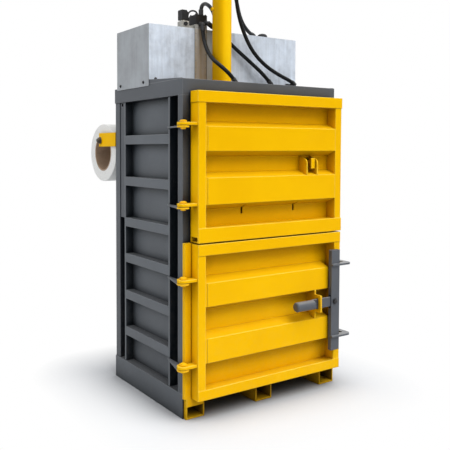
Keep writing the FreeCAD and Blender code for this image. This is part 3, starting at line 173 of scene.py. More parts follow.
def makeEdgeGroup():
    # rounds sharp sheet edges for the light, and puts out where the edges are, for painted
    # highlights, and what looks up or down, for painted light and shade
    tree, given, out = makeGroup("softEdge", {"Radius": 0.0016, "Grain": 900.0, "Depth": 0.0001},
                                 {"Edge": "Float", "Above": "Float", "Below": "Float",
                                  "Normal": "Vector"})
    bevel = addNode(tree, "ShaderNodeBevel", {"Radius": given["Radius"]},
                    samples=edgeLook["samples"])
    rounded = bevel.outputs["Normal"]
    facing = addNode(tree, "ShaderNodeNewGeometry").outputs["True Normal"]
    along = vectorCalc(tree, "DOT_PRODUCT", rounded, facing, output="Value")
    upward = apart(tree, rounded)["Z"]
    edge = remap(tree, along, *edgeLook["turned"])
    feed(tree, out["Edge"], times(tree, edge, remap(tree, upward, *edgeLook["bright"])))
    feed(tree, out["Above"], remap(tree, upward, *edgeLook["above"]))
    feed(tree, out["Below"], remap(tree, upward, *edgeLook["below"]))
    grain = noise(tree, objectPlace(tree), given["Grain"], edgeLook["grainDetail"])
    feed(tree, out["Normal"], bump(tree, grain, given["Depth"], Normal=rounded))
    return tree


wear = {
    "toneDetail": 4.0,
    "speck": (38.0, 6.0, 0.7), "dusty": (0.42, 0.72),
    "rubStretch": (3.0, 3.0, 9.0), "rub": (6.0, 8.0, 0.72), "rubbed": (0.62, 0.78),
    "hairStretch": (1.0, 1.0, 24.0), "hair": (16.0, 2.0, 0.4), "thin": (0.5, 0.0015, 0.002),
    "patch": (3.4, 3.0), "scratched": (0.56, 0.66),
}


def makeWearGroup():
    # slow changes of tone, dust that settles low down, small rubbed places and fine scratches
    tree, given, out = makeGroup("shopWear", {"Scale": 5.0, "Low": 0.0, "High": 0.6},
                                 {"Tone": "Float", "Dust": "Float", "Rub": "Float",
                                  "Scratch": "Float"})
    place = objectPlace(tree)
    feed(tree, out["Tone"], noise(tree, place, given["Scale"], wear["toneDetail"]))
    low = remap(tree, apart(tree, place)["Z"], given["High"], given["Low"])
    speck = noise(tree, place, *wear["speck"])
    feed(tree, out["Dust"], times(tree, low, remap(tree, speck, *wear["dusty"])))
    rub = noise(tree, stretched(tree, place, wear["rubStretch"]), *wear["rub"])
    feed(tree, out["Rub"], remap(tree, rub, *wear["rubbed"]))
    hair = noise(tree, stretched(tree, place, wear["hairStretch"]), *wear["hair"])
    patch = remap(tree, noise(tree, place, *wear["patch"]), *wear["scratched"])
    feed(tree, out["Scratch"], times(tree, within(tree, hair, *wear["thin"]), patch))
    return tree


creaseLook = {"reach": 0.05, "lean": 0.0, "samples": 8}


def makeCreaseGroup():
    # how far a place is closed in by the surfaces round it: 1 in a corner, 0 in the open
    # lean turns the search upwards, so that what hangs over a place counts most
    tree, given, out = makeGroup("creaseShade",
                                 {"Reach": creaseLook["reach"], "Lean": creaseLook["lean"]},
                                 {"Crease": "Float"})
    facing = addNode(tree, "ShaderNodeNewGeometry").outputs["Normal"]
    upward = addNode(tree, "ShaderNodeCombineXYZ", {"Z": given["Lean"]}).outputs[0]
    way = vectorCalc(tree, "NORMALIZE", vectorCalc(tree, "ADD", facing, upward))
    inputs = {"Distance": given["Reach"], "Normal": way}
    free = addNode(tree, "ShaderNodeAmbientOcclusion", inputs, samples=creaseLook["samples"])
    feed(tree, out["Crease"], calc(tree, "SUBTRACT", 1.0, free.outputs["AO"], clamp=True))
    return tree


edgeGroup = makeEdgeGroup()
wearGroup = makeWearGroup()
creaseGroup = makeCreaseGroup()


# finishes
def newMaterial(name):
    material = bpy.data.materials.new(name)
    material.use_nodes = True
    return material, material.node_tree, material.node_tree.nodes["Principled BSDF"]


def dress(tree, shader, tone, rough, normal, **values):
    # what changes over the surface is linked, and the rest is set on the shader itself
    for label, value in (("Base Color", tone), ("Roughness", rough), ("Normal", normal)):
        feed(tree, shader.inputs[label], value)
    for label, value in values.items():
        shader.inputs[label.replace("_", " ")].default_value = value


# per paint: the edge colour is a painted highlight and also the colour of scratches; the colour for
# faces that look up is painted light on the grey paints and painted shade on the yellow; the crease
# colour is painted shade in corners and on faces that look down
paint = {
    "yellow": {"base": colour(0.9, 0.5, 0.0006), "deep": colour(0.86, 0.462, 0.0005),
               "edge": colour(1.0, 0.82, 0.17), "radius": 0.006,
               "paintedTopTone": colour(0.62, 0.355, 0.006), "above": 0.45, "below": 0.5,
               "crease": colour(0.12, 0.05, 0.0004), "reach": 0.1, "lean": 1.0,
               "open": 0.36, "shut": 0.92, "paintedShadeShare": 0.66,
               "roughness": 0.36, "gloss": 0.03, "dust": 0.06},
    "frame": {"base": colour(0.092, 0.1, 0.112), "deep": colour(0.074, 0.081, 0.091),
              "edge": colour(0.3, 0.31, 0.325), "radius": 0.004,
              "paintedTopTone": colour(0.3, 0.31, 0.325), "above": 0.3, "below": 0.0,
              "crease": colour(0.006, 0.008, 0.011), "reach": 0.2, "lean": 0.1,
              "open": 0.22, "shut": 0.58, "paintedShadeShare": 1.0,
              "roughness": 0.4, "gloss": 0.22, "dust": 0.08},
    "lock": {"base": colour(0.082, 0.09, 0.104), "deep": colour(0.07, 0.077, 0.09),
             "edge": colour(0.23, 0.238, 0.25), "radius": 0.0028,
             "paintedTopTone": colour(0.23, 0.238, 0.25), "above": 0.8, "below": 0.0,
             "crease": colour(0.014, 0.015, 0.017), "reach": 0.03, "lean": 0.1,
             "open": 0.15, "shut": 0.9, "paintedShadeShare": 0.7,
             "roughness": 0.38, "gloss": 0.35, "dust": 0.03},
}
# painted shade: a yellow with darker, deeper crease shade for inside the feet
paint["foot"] = dict(paint["yellow"], crease=colour(0.02, 0.012, 0.004), reach=0.15, lean=0.2,
                     open=0.12, paintedShadeShare=1.0)
# painted light: a lighter copy of the frame paint for the side and rear walls and the skirts
paint["side"] = dict(paint["frame"], base=colour(0.115, 0.127, 0.141),
                     deep=colour(0.097, 0.107, 0.119), crease=colour(0.006, 0.009, 0.012))
coat = {  # the same for every paint
    "grain": 420.0, "peel": 0.0001, "wear": 3.2, "dustTop": 0.75, "dust": colour(0.34, 0.315, 0.27),
    "tone": (0.35, 0.68), "openEdge": (0.34, 0.16), "edge": 0.9, "scratch": 0.35, "rubMatt": 0.12,
    "dustMatt": 0.3, "ior": 1.5,
}


def makePaint(name, values, tint=None):
    # sprayed paint: a fine orange peel, painted highlights on edges, scratches, painted shade in
    # corners and on faces that look down, painted light on faces that look up for the grey paints
    # and painted shade there for the yellow, dust low down
    material, tree, shader = newMaterial(name)
    soft = placeGroup(tree, edgeGroup, Radius=values["radius"], Grain=coat["grain"],
                      Depth=coat["peel"])
    worn = placeGroup(tree, wearGroup, Scale=coat["wear"], Low=0.0, High=coat["dustTop"])
    crease = placeGroup(tree, creaseGroup, Reach=values["reach"], Lean=values["lean"])["Crease"]
    tone = mixColour(tree, remap(tree, worn["Tone"], *coat["tone"]), values["deep"], values["base"])
    # painted shade: darker in creases and corners, and on faces that look down
    closed = times(tree, remap(tree, crease, values["open"], values["shut"]), values["paintedShadeShare"])
    darker = calc(tree, "MAXIMUM", closed, times(tree, soft["Below"], values["below"]))
    tone = mixColour(tree, darker, tone, values["crease"])
    # painted light and shade on faces that look up: lighter on the grey paints, darker on the
    # yellow
    tone = over(tree, tone, soft["Above"], values["above"], values["paintedTopTone"])
    # painted highlight on convex edges, kept out of creases; the edge colour is also the scratches'
    # colour
    highlightedEdges = times(tree, soft["Edge"], remap(tree, crease, *coat["openEdge"]))
    tone = over(tree, tone, highlightedEdges, coat["edge"], values["edge"])
    tone = over(tree, tone, worn["Scratch"], coat["scratch"], values["edge"])
    tone = over(tree, tone, worn["Dust"], values["dust"], coat["dust"])
    rough = plus(tree, times(tree, worn["Rub"], coat["rubMatt"]), values["roughness"])
    rough = plus(tree, rough, times(tree, worn["Dust"], coat["dustMatt"]))
    dress(tree, shader, tint(tree, tone) if tint else tone, rough, soft["Normal"],
          Metallic=0.0, IOR=coat["ior"], Specular_IOR_Level=values["gloss"])
    return material


lugs = {"axis": (-0.525, -0.395), "eye": (0.03, 0.0292)}


def pinYellow(tree, under):
    # the lugs' eyes and pins are painted with the doors, the plates behind them with the frame
    away = fromAxis(tree, "XY", lugs["axis"])
    return mixColour(tree, remap(tree, away, *lugs["eye"]), under, paint["yellow"]["base"])


barrel = {"leftShade": colour(0.6, 0.318, 0.0004), "left": (-0.42, -0.86),
          "frontHighlight": colour(1.0, 0.6, 0.006), "front": (0.1, 0.2, 0.45)}


def barrelYellow(tree, under):
    # painted shade on the cylinder's left side and a painted highlight where it faces front
    facing = apart(tree, addNode(tree, "ShaderNodeNewGeometry").outputs["Normal"])["X"]
    leftShade = mixColour(tree, remap(tree, facing, *barrel["left"]), under, barrel["leftShade"])
    return mixColour(tree, within(tree, facing, *barrel["front"]), leftShade, barrel["frontHighlight"])


cover = {
    "dark": colour(0.4, 0.435, 0.485),
    "light": colour(0.72, 0.79, 0.885),
    "flake": colour(0.82, 0.86, 0.91),
    "edge": colour(0.74, 0.76, 0.79),
    "side": colour(0.165, 0.167, 0.16),  # painted shade: the left end face is painted darker
    "sideFrom": -0.5008, "sideShadeShare": 0.7,
    "seamReflection": colour(0.38, 0.285, 0.165),  # the riveted lap on the front face, with a painted brown reflection of the yellow cylinder
    "seamMiddle": -0.1805, "seamHalf": 0.0385, "seamSoft": 0.002,
    "seamReflectionStreak": (0.3, 0.62, 0.45, 0.95), "front": -0.03,
    "joint": colour(0.06, 0.06, 0.062),
    "jointHalf": 0.0012, "jointSoft": 0.0014, "jointDark": 0.85,
    "radius": 0.0025, "grain": 260.0, "depth": 0.00016,
    "warp": (24.0, 3.0), "bend": (0.03, 0.03, 0.03), "crystals": 46.0, "crystalShare": 0.2,
    "stretch": (9.0, 9.0, 0.8), "streak": (5.0, 6.0, 0.62), "streakShare": 0.32,
    "cloud": (5.5, 6.0, 0.62), "cloudShare": 0.68, "patches": (0.38, 0.63),
    "reach": 0.06, "paintedShadeShare": 0.55, "edgeHighlightShare": 0.5,
    "roughness": 0.34, "crystalMatt": 0.1, "streakMatt": 0.16, "metallic": 0.06, "gloss": 0.4,
}


def makeGalvanised():
    # soft crystals, vertical roll streaks, cloudy oxide, dark joints at the lap, painted shade in
    # creases and on the left end face, a painted reflection of the yellow cylinder on the lap, and
    # painted highlights on edges
    material, tree, shader = newMaterial("galvanisedSheet")
    place = objectPlace(tree)
    soft = placeGroup(tree, edgeGroup, Radius=cover["radius"], Grain=cover["grain"],
                      Depth=cover["depth"])
    bent = vectorCalc(tree, "MULTIPLY", noise(tree, place, *cover["warp"]), cover["bend"])
    moved = vectorCalc(tree, "ADD", place, bent)
    cells = addNode(tree, "ShaderNodeTexVoronoi", {"Vector": moved, "Scale": cover["crystals"]},
                    feature="F1")
    crystal = addNode(tree, "ShaderNodeSeparateColor", {0: cells.outputs["Color"]}).outputs[0]
    streak = noise(tree, stretched(tree, place, cover["stretch"]), *cover["streak"])
    cloud = noise(tree, place, *cover["cloud"])
    both = plus(tree, times(tree, cloud, cover["cloudShare"]),
                times(tree, streak, cover["streakShare"]))
    tone = mixColour(tree, remap(tree, both, *cover["patches"]), cover["dark"], cover["light"])
    tone = over(tree, tone, crystal, cover["crystalShare"], cover["flake"])
    # painted shade in creases
    crease = placeGroup(tree, creaseGroup, Reach=cover["reach"])["Crease"]
    tone = over(tree, tone, crease, cover["paintedShadeShare"], cover["dark"])
    parts = apart(tree, place)
    onSide = calc(tree, "LESS_THAN", parts["X"], cover["sideFrom"])
    # painted shade on the left end face
    tone = over(tree, tone, onSide, cover["sideShadeShare"], cover["side"])
    inFront = calc(tree, "LESS_THAN", parts["Y"], cover["front"])
    middle, half = cover["seamMiddle"], cover["seamHalf"]
    onSeam = times(tree, within(tree, parts["X"], middle, half, cover["seamSoft"]), inFront)
    # painted reflection: the yellow cylinder's brown reflection on the lap, in streaks
    tone = over(tree, tone, onSeam, remap(tree, streak, *cover["seamReflectionStreak"]), cover["seamReflection"])
    aside = calc(tree, "ABSOLUTE", calc(tree, "SUBTRACT", parts["X"], middle))
    joint = times(tree, within(tree, aside, half, cover["jointHalf"], cover["jointSoft"]), inFront)
    tone = over(tree, tone, joint, cover["jointDark"], cover["joint"])
    # painted highlight on edges
    tone = over(tree, tone, soft["Edge"], cover["edgeHighlightShare"], cover["edge"])
    rough = plus(tree, times(tree, crystal, cover["crystalMatt"]),
                 times(tree, streak, cover["streakMatt"]))
    dress(tree, shader, tone, plus(tree, rough, cover["roughness"]), soft["Normal"],
          Metallic=cover["metallic"], Specular_IOR_Level=cover["gloss"])
    return material


# scaled gives the darker and the paler tone from the base colour, as a factor and what is added
metal = {"radius": 0.0006, "grain": 900.0, "depth": 0.00004, "wear": 30.0, "tone": (0.3, 0.7),
         "toneMatt": 0.2, "dark": (0.62, 0.0), "pale": (1.5, 0.05)}
plastic = {"radius": 0.0008, "wear": 18.0, "tone": (0.4, 0.75), "toneMatt": 0.2,
           "pale": (1.5, 0.01)}


def scaled(base, factor, added):
    return tuple(min(1.0, value * factor + added) for value in base[:3]) + (1.0,)


def makeMetal(name, base, roughness, metallic):
    # a clouded metal with painted highlights on its edges
    material, tree, shader = newMaterial(name)
    soft = placeGroup(tree, edgeGroup, Radius=metal["radius"], Grain=metal["grain"],
                      Depth=metal["depth"])
    cloud = placeGroup(tree, wearGroup, Scale=metal["wear"])["Tone"]
    tone = mixColour(tree, remap(tree, cloud, *metal["tone"]), scaled(base, *metal["dark"]), base)
    tone = mixColour(tree, soft["Edge"], tone, scaled(base, *metal["pale"]))
    rough = plus(tree, times(tree, cloud, metal["toneMatt"]), roughness)
    dress(tree, shader, tone, rough, soft["Normal"], Metallic=metallic)
    return material


def makePlastic(name, base, roughness, grain, depth, gloss):
    material, tree, shader = newMaterial(name)
    soft = placeGroup(tree, edgeGroup, Radius=plastic["radius"], Grain=grain, Depth=depth)
    cloud = placeGroup(tree, wearGroup, Scale=plastic["wear"])["Tone"]
    tone = mixColour(tree, remap(tree, cloud, *plastic["tone"]), base,
                     scaled(base, *plastic["pale"]))
    rough = plus(tree, times(tree, cloud, plastic["toneMatt"]), roughness)
    dress(tree, shader, tone, rough, soft["Normal"], Specular_IOR_Level=gloss)
    return material


rubber = {"dark": colour(0.004, 0.0045, 0.005), "light": colour(0.012, 0.0125, 0.014),
          "tone": (0.35, 0.7), "cloth": (1400.0, 2.0), "cloud": (30.0, 4.0),
          "matt": (0.3, 0.7, 0.3, 0.44),
          "strength": 0.5, "depth": 0.0003, "gloss": 0.16}


def makeHoseRubber():
    # wrapped rubber cover with a faint cloth imprint
    material, tree, shader = newMaterial("hoseRubber")
    cloth = noise(tree, objectPlace(tree), *rubber["cloth"])
    cloud = noise(tree, objectPlace(tree), *rubber["cloud"])
    tone = mixColour(tree, remap(tree, cloud, *rubber["tone"]), rubber["dark"], rubber["light"])
    normal = bump(tree, cloth, rubber["depth"], rubber["strength"])
    dress(tree, shader, tone, remap(tree, cloud, *rubber["matt"]), normal,
          Specular_IOR_Level=rubber["gloss"])
    return material


rollMiddle = (0.538, 1.2803)  # y and z of the roll's axis, which lies along X
strap = {"light": colour(0.86, 0.855, 0.83), "shadow": colour(0.6, 0.59, 0.565),
         "layers": 2600.0, "band": (-0.4, 1.0), "uneven": (60.0, 4.0), "fade": (0.3, 0.7, 0.5, 1.0),
         "weaveStretch": (5.0, 1.0, 1.0), "weave": (420.0, 2.0), "layerHigh": -0.5,
         "matt": (0.3, 0.7, 0.5, 0.68), "strength": 0.6, "depth": 0.0005}
board = {"dark": colour(0.32, 0.215, 0.14), "light": colour(0.5, 0.36, 0.255), "tone": (0.3, 0.7),
         "glue": colour(0.1, 0.065, 0.04), "layers": 7000.0, "glued": (0.3, 1.0, 0.0, 0.4),
         "stretch": (1.0, 6.0, 6.0), "fibre": (70.0, 5.0, 0.65),
         "matt": (0.3, 0.7, 0.74, 0.9), "strength": 0.5, "depth": 0.0004}


def makeStrapWhite():
    # wound woven strap: thin layers seen on the sides of the roll
    material, tree, shader = newMaterial("strapWhite")
    wave = calc(tree, "SINE", times(tree, fromAxis(tree, "YZ", rollMiddle), strap["layers"]))
    uneven = noise(tree, objectPlace(tree), *strap["uneven"])
    band = times(tree, remap(tree, wave, *strap["band"]), remap(tree, uneven, *strap["fade"]))
    tone = mixColour(tree, band, strap["light"], strap["shadow"])
    weave = noise(tree, stretched(tree, objectPlace(tree), strap["weaveStretch"]), *strap["weave"])
    height = plus(tree, times(tree, wave, strap["layerHigh"]), weave)
    normal = bump(tree, height, strap["depth"], strap["strength"])
    dress(tree, shader, tone, remap(tree, uneven, *strap["matt"]), normal)
    return material


def makeCardboard():
    # brown board of glued layers, rough at its cut ends
    material, tree, shader = newMaterial("cardboard")
    wave = calc(tree, "SINE", times(tree, fromAxis(tree, "YZ", rollMiddle), board["layers"]))
    fibre = noise(tree, stretched(tree, objectPlace(tree), board["stretch"]), *board["fibre"])
    tone = mixColour(tree, remap(tree, fibre, *board["tone"]), board["dark"], board["light"])
    tone = mixColour(tree, remap(tree, wave, *board["glued"]), tone, board["glue"])
    normal = bump(tree, fibre, board["depth"], board["strength"])
    dress(tree, shader, tone, remap(tree, fibre, *board["matt"]), normal)
    return material


finishes = {
    "yellow_paint": makePaint("yellowPaint", paint["yellow"]),
    "frame_paint": makePaint("framePaint", paint["frame"]),
    "grey_paint": makePaint("lockPaint", paint["lock"]),
    "galvanised_sheet": makeGalvanised(),
    "zinc_steel": makeMetal("zincSteel", colour(0.2, 0.19, 0.165), roughness=0.36, metallic=0.75),
    "chromed_rod": makeMetal("chromedRod", colour(0.72, 0.73, 0.75), roughness=0.08, metallic=1.0),
    "slide_plastic": makePlastic("slidePlastic", colour(0.74, 0.73, 0.68), roughness=0.45,
                                 grain=500.0, depth=0.0001, gloss=0.5),
    "black_plastic": makePlastic("blackPlastic", colour(0.01, 0.01, 0.011), roughness=0.42,
                                 grain=1500.0, depth=0.00006, gloss=0.22),
    "hose_rubber": makeHoseRubber(),
    "cardboard": makeCardboard(),
    "strap_white": makeStrapWhite(),
}
blackSteel = makeMetal("blackSteel", colour(0.03, 0.03, 0.032), roughness=0.44, metallic=0.4)
dullSteel = makeMetal("dullSteel", colour(0.115, 0.1, 0.08), roughness=0.45, metallic=0.55)
brightZinc = makeMetal("brightZinc", colour(0.34, 0.335, 0.31), roughness=0.3, metallic=0.85)
ownFinishes = [  # nodes that differ from their slot's finish
    (makePaint("lugPaint", paint["frame"], pinYellow), ("frame_hinge_lugs",)),
    (makePaint("barrelPaint", paint["yellow"], barrelYellow), ("cylinder_barrel",)),
    (makePaint("footPaint", paint["foot"]), ("foot_left", "foot_middle", "foot_right")),
    # painted light: the side and rear walls and the skirts take the lighter copy of the frame paint
    (makePaint("framePaintLitCopy", paint["side"]),
     ("side_wall_left", "side_wall_right", "rear_wall", "base_skirts")),
    (makeMetal("castAlloy", colour(0.52, 0.51, 0.47), roughness=0.42, metallic=0.35),
     ("valve_manifold",)),
]
for part in frame["record"]["subparts"]:
    node = frame["nodes"][part["node"]]
    node.data.materials.clear()
    node.data.materials.append(finishes[part["material_slot"]])
for finish, nodes in ownFinishes:
    for node in nodes:
        frame["nodes"][node].data.materials[0] = finish
print("finishes made,", len(finishes) + len(ownFinishes))


# hoses: each line follows these control points
hoses = {
    "radius": 0.0105, "cableRadius": 0.0045,
    "alongSteps": 10, "roundSteps": 5,
    "lengths": {"hose_return": 0.324, "hose_feed": 0.496, "hose_head": 0.393,
                "hose_cap_front": 1.027, "hose_cap_rear": 0.689, "valve_cable": 0.102},
    "hose_return": [(-0.166, -0.018, 2.034), (-0.166, -0.018, 2.058), (-0.148, -0.006, 2.086),
                    (-0.096, 0.03, 2.104), (-0.034, 0.066, 2.09), (0.006, 0.09, 2.046),
                    (0.018, 0.099, 2.008), (0.02, 0.101, 1.982)],
    "hose_feed": [(-0.13, -0.052, 1.97), (-0.088, -0.054, 1.944), (-0.022, -0.055, 1.9),
                  (0.056, -0.057, 1.845), (0.136, -0.072, 1.785), (0.222, -0.092, 1.714),
                  (0.266, -0.086, 1.677)],
    "hose_head": [(-0.181, -0.057, 1.952), (-0.18, -0.059, 1.91), (-0.179, -0.076, 1.856),
                  (-0.187, -0.122, 1.802), (-0.19, -0.172, 1.762), (-0.16, -0.21, 1.722),
                  (-0.112, -0.22, 1.682), (-0.0886, -0.22, 1.654)],
    "hose_cap_front": [(-0.024, -0.142, 2.495), (-0.024, -0.141, 2.41), (-0.022, -0.137, 2.305),
                       (-0.015, -0.126, 2.2), (0.002, -0.112, 2.085), (0.044, -0.101, 1.972),
                       (0.118, -0.095, 1.852), (0.214, -0.1, 1.77), (0.32, -0.116, 1.716),
                       (0.378, -0.128, 1.693), (0.418, -0.112, 1.68)],
    "hose_cap_rear": [(-0.024, -0.098, 2.495), (-0.024, -0.097, 2.41), (-0.02, -0.094, 2.31),
                      (-0.006, -0.088, 2.205), (0.028, -0.08, 2.106), (0.058, -0.066, 2.04),
                      (0.1, -0.045, 1.998), (0.15, -0.018, 1.976), (0.196, 0.008, 1.964),
                      (0.232, 0.03, 1.961)],
    "valve_cable": [(-0.24, 0, 2.005), (-0.24, 0, 2.023), (-0.227, 0, 2.041), (-0.205, 0, 2.048),
                    (-0.184, 0, 2.043), (-0.18, 0, 2.031), (-0.18, 0, 2.0233)],
}


def makeHose(node):
    radius = hoses["cableRadius"] if node == "valve_cable" else hoses["radius"]
    points = hoses[node]
    curve = bpy.data.curves.new(node + "Line", "CURVE")
    curve.dimensions = "3D"
    curve.resolution_u = hoses["alongSteps"]
    curve.bevel_depth = radius
    curve.bevel_resolution = hoses["roundSteps"]
    curve.use_fill_caps = True
    spline = curve.splines.new("NURBS")
    spline.points.add(len(points) - 1)
    for point, place in zip(spline.points, points):
        point.co = (*place, 1.0)
    spline.order_u = 3
    spline.use_endpoint_u = True
    piece = bpy.data.objects.new(node + "Tube", curve)
    bpy.context.scene.collection.objects.link(piece)
    curve.materials.append(finishes["hose_rubber"])
    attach(piece, "frame")
    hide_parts(node)
    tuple(points[0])


for hoseName in hoses["lengths"]:
    makeHose(hoseName)
print("hoses laid")


# pieces in mesh code
def placePiece(name, mesh, body, slot, material, replaced=()):
    piece = bpy.data.objects.new(name, mesh)
    bpy.context.scene.collection.objects.link(piece)
    if material:
        mesh.materials.clear()
        mesh.materials.append(material)
    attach(piece, body)
    if replaced:
        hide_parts(*replaced)


def closeMesh(build, name, angle=35.0):
    # the finished mesh: normals outwards, smooth where it turns gently
    bmesh.ops.recalc_face_normals(build, faces=build.faces[:])
    mesh = bpy.data.meshes.new(name)
    build.to_mesh(mesh)
    build.free()
    mesh.shade_smooth()
    mesh.set_sharp_from_angle(angle=math.radians(angle))
    return mesh


def placeMesh(name, build, body, slot, material, replaced=(), angle=35.0):
    placePiece(name, closeMesh(build, name, angle), body, slot, material, replaced)


toTop, toFront, toLeft = (0, 0, 1), (0, -1, 0), (-1, 0, 0)


def ring(build, middle, side, up, radius, steps, turn=0.0, wave=None):
    # points round a middle; wave gives each point's share of the radius
    verts = []
    for index in range(steps):
        angle = 2 * math.pi * index / steps + turn
        way = side * math.cos(angle) + up * math.sin(angle)
        reach = radius * (wave(index) if wave else 1.0)
        verts.append(build.verts.new(middle + way * reach))
    return verts


def skin(build, rings, endless=False):
    # a wall between rings; its ends are closed, or joined to each other
    for low, high in zip(rings, rings[1:] + rings[:1] if endless else rings[1:]):
        for index in range(len(low)):
            after = (index + 1) % len(low)
            build.faces.new((low[index], low[after], high[after], high[index]))
    if not endless:
        build.faces.new(reversed(rings[0]))
        build.faces.new(rings[-1])


def lathe(build, profile, start, way, steps=24, turn=0.0, wave=None):
    # turns pairs of radius and distance round a line, and closes both ends
    start, way = Vector(start), Vector(way).normalized()
    side = way.orthogonal().normalized()
    up = way.cross(side)
    rings = [ring(build, start + way * along, side, up, radius, steps, turn, wave)
             for radius, along in profile]
    skin(build, rings)


def pipe(build, points, radius, steps=20):
    # a round bar along a bent line
    points = [Vector(point) for point in points]
    ways = [(after - before).normalized() for before, after in zip(points, points[1:])]
    ways = [ways[0]] + [(one + two).normalized() for one, two in zip(ways, ways[1:])] + [ways[-1]]
    side = ways[0].orthogonal().normalized()
    rings = []
    for point, way in zip(points, ways):
        side = (side - way * side.dot(way)).normalized()
        rings.append(ring(build, point, side, way.cross(side), radius, steps))
    skin(build, rings)


def bendBetween(first, corner, last, count=7):
    first, corner, last = Vector(first), Vector(corner), Vector(last)
    share = [index / (count - 1) for index in range(count)]
    return [first * (1 - t) ** 2 + corner * 2 * t * (1 - t) + last * t ** 2 for t in share]


def hexProfile(wide, low, high, edge=0.0012, top=1.6):
    # a hexagon with its edges cut, by more at the top
    return [(wide - edge, low), (wide, low + edge), (wide, high - edge), (wide - edge * top, high)]


# hose ends: crimped sleeve, swivel nut, elbow and the hexagon screwed into what carries it
hoseEnds = {
    "sleeve": {"radius": 0.0132, "before": 0.02, "after": 0.008, "plain": 0.003, "lip": 0.002,
               "lead": 0.0015, "rim": 0.001, "grooves": 4, "groove": 0.0009,
               # a groove's outline, as shares of its length and of its depth
               "shape": [(0.25, 0.0), (0.4, 1.0), (0.8, 1.0), (0.95, 0.0)]},
    "nut": {"wide": 0.0136, "low": 0.008, "high": 0.0185},
    "elbow": {"radius": 0.0088, "from": 0.004, "knee": 0.02, "bend": 0.013, "before": 0.4,
              "after": 0.6},
    "adapter": {"wide": 0.0138, "high": 0.011, "turn": 0.4},
    # where the return hose stands on the valve
    "stub": {"level": 2.023, "wide": 0.0138, "gap": 0.006, "radius": 0.0095},
    # hose, its end, and the axis and level of the face that carries the adapter
    "ends": [("hose_feed", 0, "y", -0.032), ("hose_feed", -1, "y", -0.036),
             ("hose_head", 0, "y", -0.032), ("hose_head", -1, "y", -0.204),
             ("hose_cap_front", 0, "x", -0.041), ("hose_cap_front", -1, "y", -0.036),
             ("hose_cap_rear", 0, "x", -0.041), ("hose_cap_rear", -1, "z", 1.945),
             ("hose_return", -1, "z", 1.945)],
}


def crimpedSleeve(build, end, way):
    values = hoseEnds["sleeve"]
    radius, low, high = values["radius"], -values["before"], values["after"]
    profile = [(radius - values["lip"], low), (radius, low + values["lead"])]
    step = (high - low - 2 * values["plain"]) / values["grooves"]
    for index in range(values["grooves"]):
        start = low + values["plain"] + step * index
        profile += [(radius - values["groove"] * cut, start + step * share)
                    for share, cut in values["shape"]]
    profile += [(radius, high - values["rim"]), (radius - values["lip"], high)]
    lathe(build, profile, end, way)


def makeHoseEnds():
    build = bmesh.new()
    nut, elbow, adapter = hoseEnds["nut"], hoseEnds["elbow"], hoseEnds["adapter"]
    for node, index, axis, level in hoseEnds["ends"]:
        points = hoses[node]
        end = Vector(points[index])
        way = (end - Vector(points[1 if index == 0 else -2])).normalized()
        crimpedSleeve(build, end, way)
        lathe(build, hexProfile(nut["wide"], nut["low"], nut["high"]), end, way, steps=6)
        knee = end + way * elbow["knee"]
        foot = knee.copy()
        foot["xyz".index(axis)] = level
        down = (foot - knee).normalized()
        before = knee - way * elbow["bend"] * elbow["before"]
        after = knee + down * elbow["bend"] * elbow["after"]
        pipe(build, [end + way * elbow["from"]] + bendBetween(before, knee, after) + [foot],
             elbow["radius"])
        lathe(build, hexProfile(adapter["wide"], 0.0, adapter["high"]), foot, -down, steps=6,
              turn=adapter["turn"])
    stub = hoseEnds["stub"]
    top = Vector(hoses["hose_return"][0])
    seat, high = (top.x, top.y, stub["level"]), top.z - stub["level"]
    crimpedSleeve(build, top, (0, 0, -1))
    lathe(build, hexProfile(stub["wide"], 0.0, high - stub["gap"]), seat, toTop, steps=6)
    lathe(build, [(stub["radius"], 0.0), (stub["radius"], high)], seat, toTop)
    placeMesh("hoseEndSet", build, "frame", "zinc_steel", blackSteel, ("hose_fittings",))


makeHoseEnds()
print("hose ends made")


# coil plug's screw, the cable's gland and end, the coil's nut and ribs, and the filler cap
# profiles are pairs of radius and distance from the place
valve = {
    "gland": {"place": (-0.24, 0.0, 1.984), "wide": 0.0085, "high": 0.01,
              "cone": [(0.0078, 0.01), (0.0078, 0.016), (0.007, 0.021), (0.0055, 0.026)]},
    "cableEnd": {"place": (-0.18, 0.0, 2.023), "wide": 0.0085, "high": 0.01,
                 "neck": (0.0058, 0.014)},
    "coilNut": {"place": (-0.268, -0.022, 1.968), "knurls": 20, "depth": 0.05,
                "profile": [(0.011, 0.0), (0.011, 0.006), (0.01, 0.007)]},
    "ribs": {"x": (-0.291, -0.245), "y": (-0.0235, 0.0235), "z": (1.952, 1.958, 1.964, 1.97, 1.976),
             "high": 0.0022},
    "plugScrew": {"place": (-0.266, 0.0, 2.041),
                  "profile": [(0.0045, -0.002), (0.0045, 0.0012), (0.0035, 0.002)]},
    "cap": {"place": (0.328, 0.06, 1.945), "flutes": 24, "depth": 0.05,
            "profile": [(0.015, 0.0), (0.015, 0.012), (0.017, 0.0135), (0.0285, 0.014),
                        (0.03, 0.0155), (0.0298, 0.02), (0.027, 0.0285), (0.018, 0.035),
                        (0.008, 0.0376), (0.001, 0.038)]},
}


def boxShape(build, low, high):
    corners = [(x, y, z) for z in (low[2], high[2]) for y in (low[1], high[1])
               for x in (low[0], high[0])]
    verts = [build.verts.new(corner) for corner in corners]
    for face in ((0, 2, 3, 1), (4, 5, 7, 6), (0, 1, 5, 4), (2, 6, 7, 3), (0, 4, 6, 2),
                 (1, 3, 7, 5)):
        build.faces.new([verts[index] for index in face])


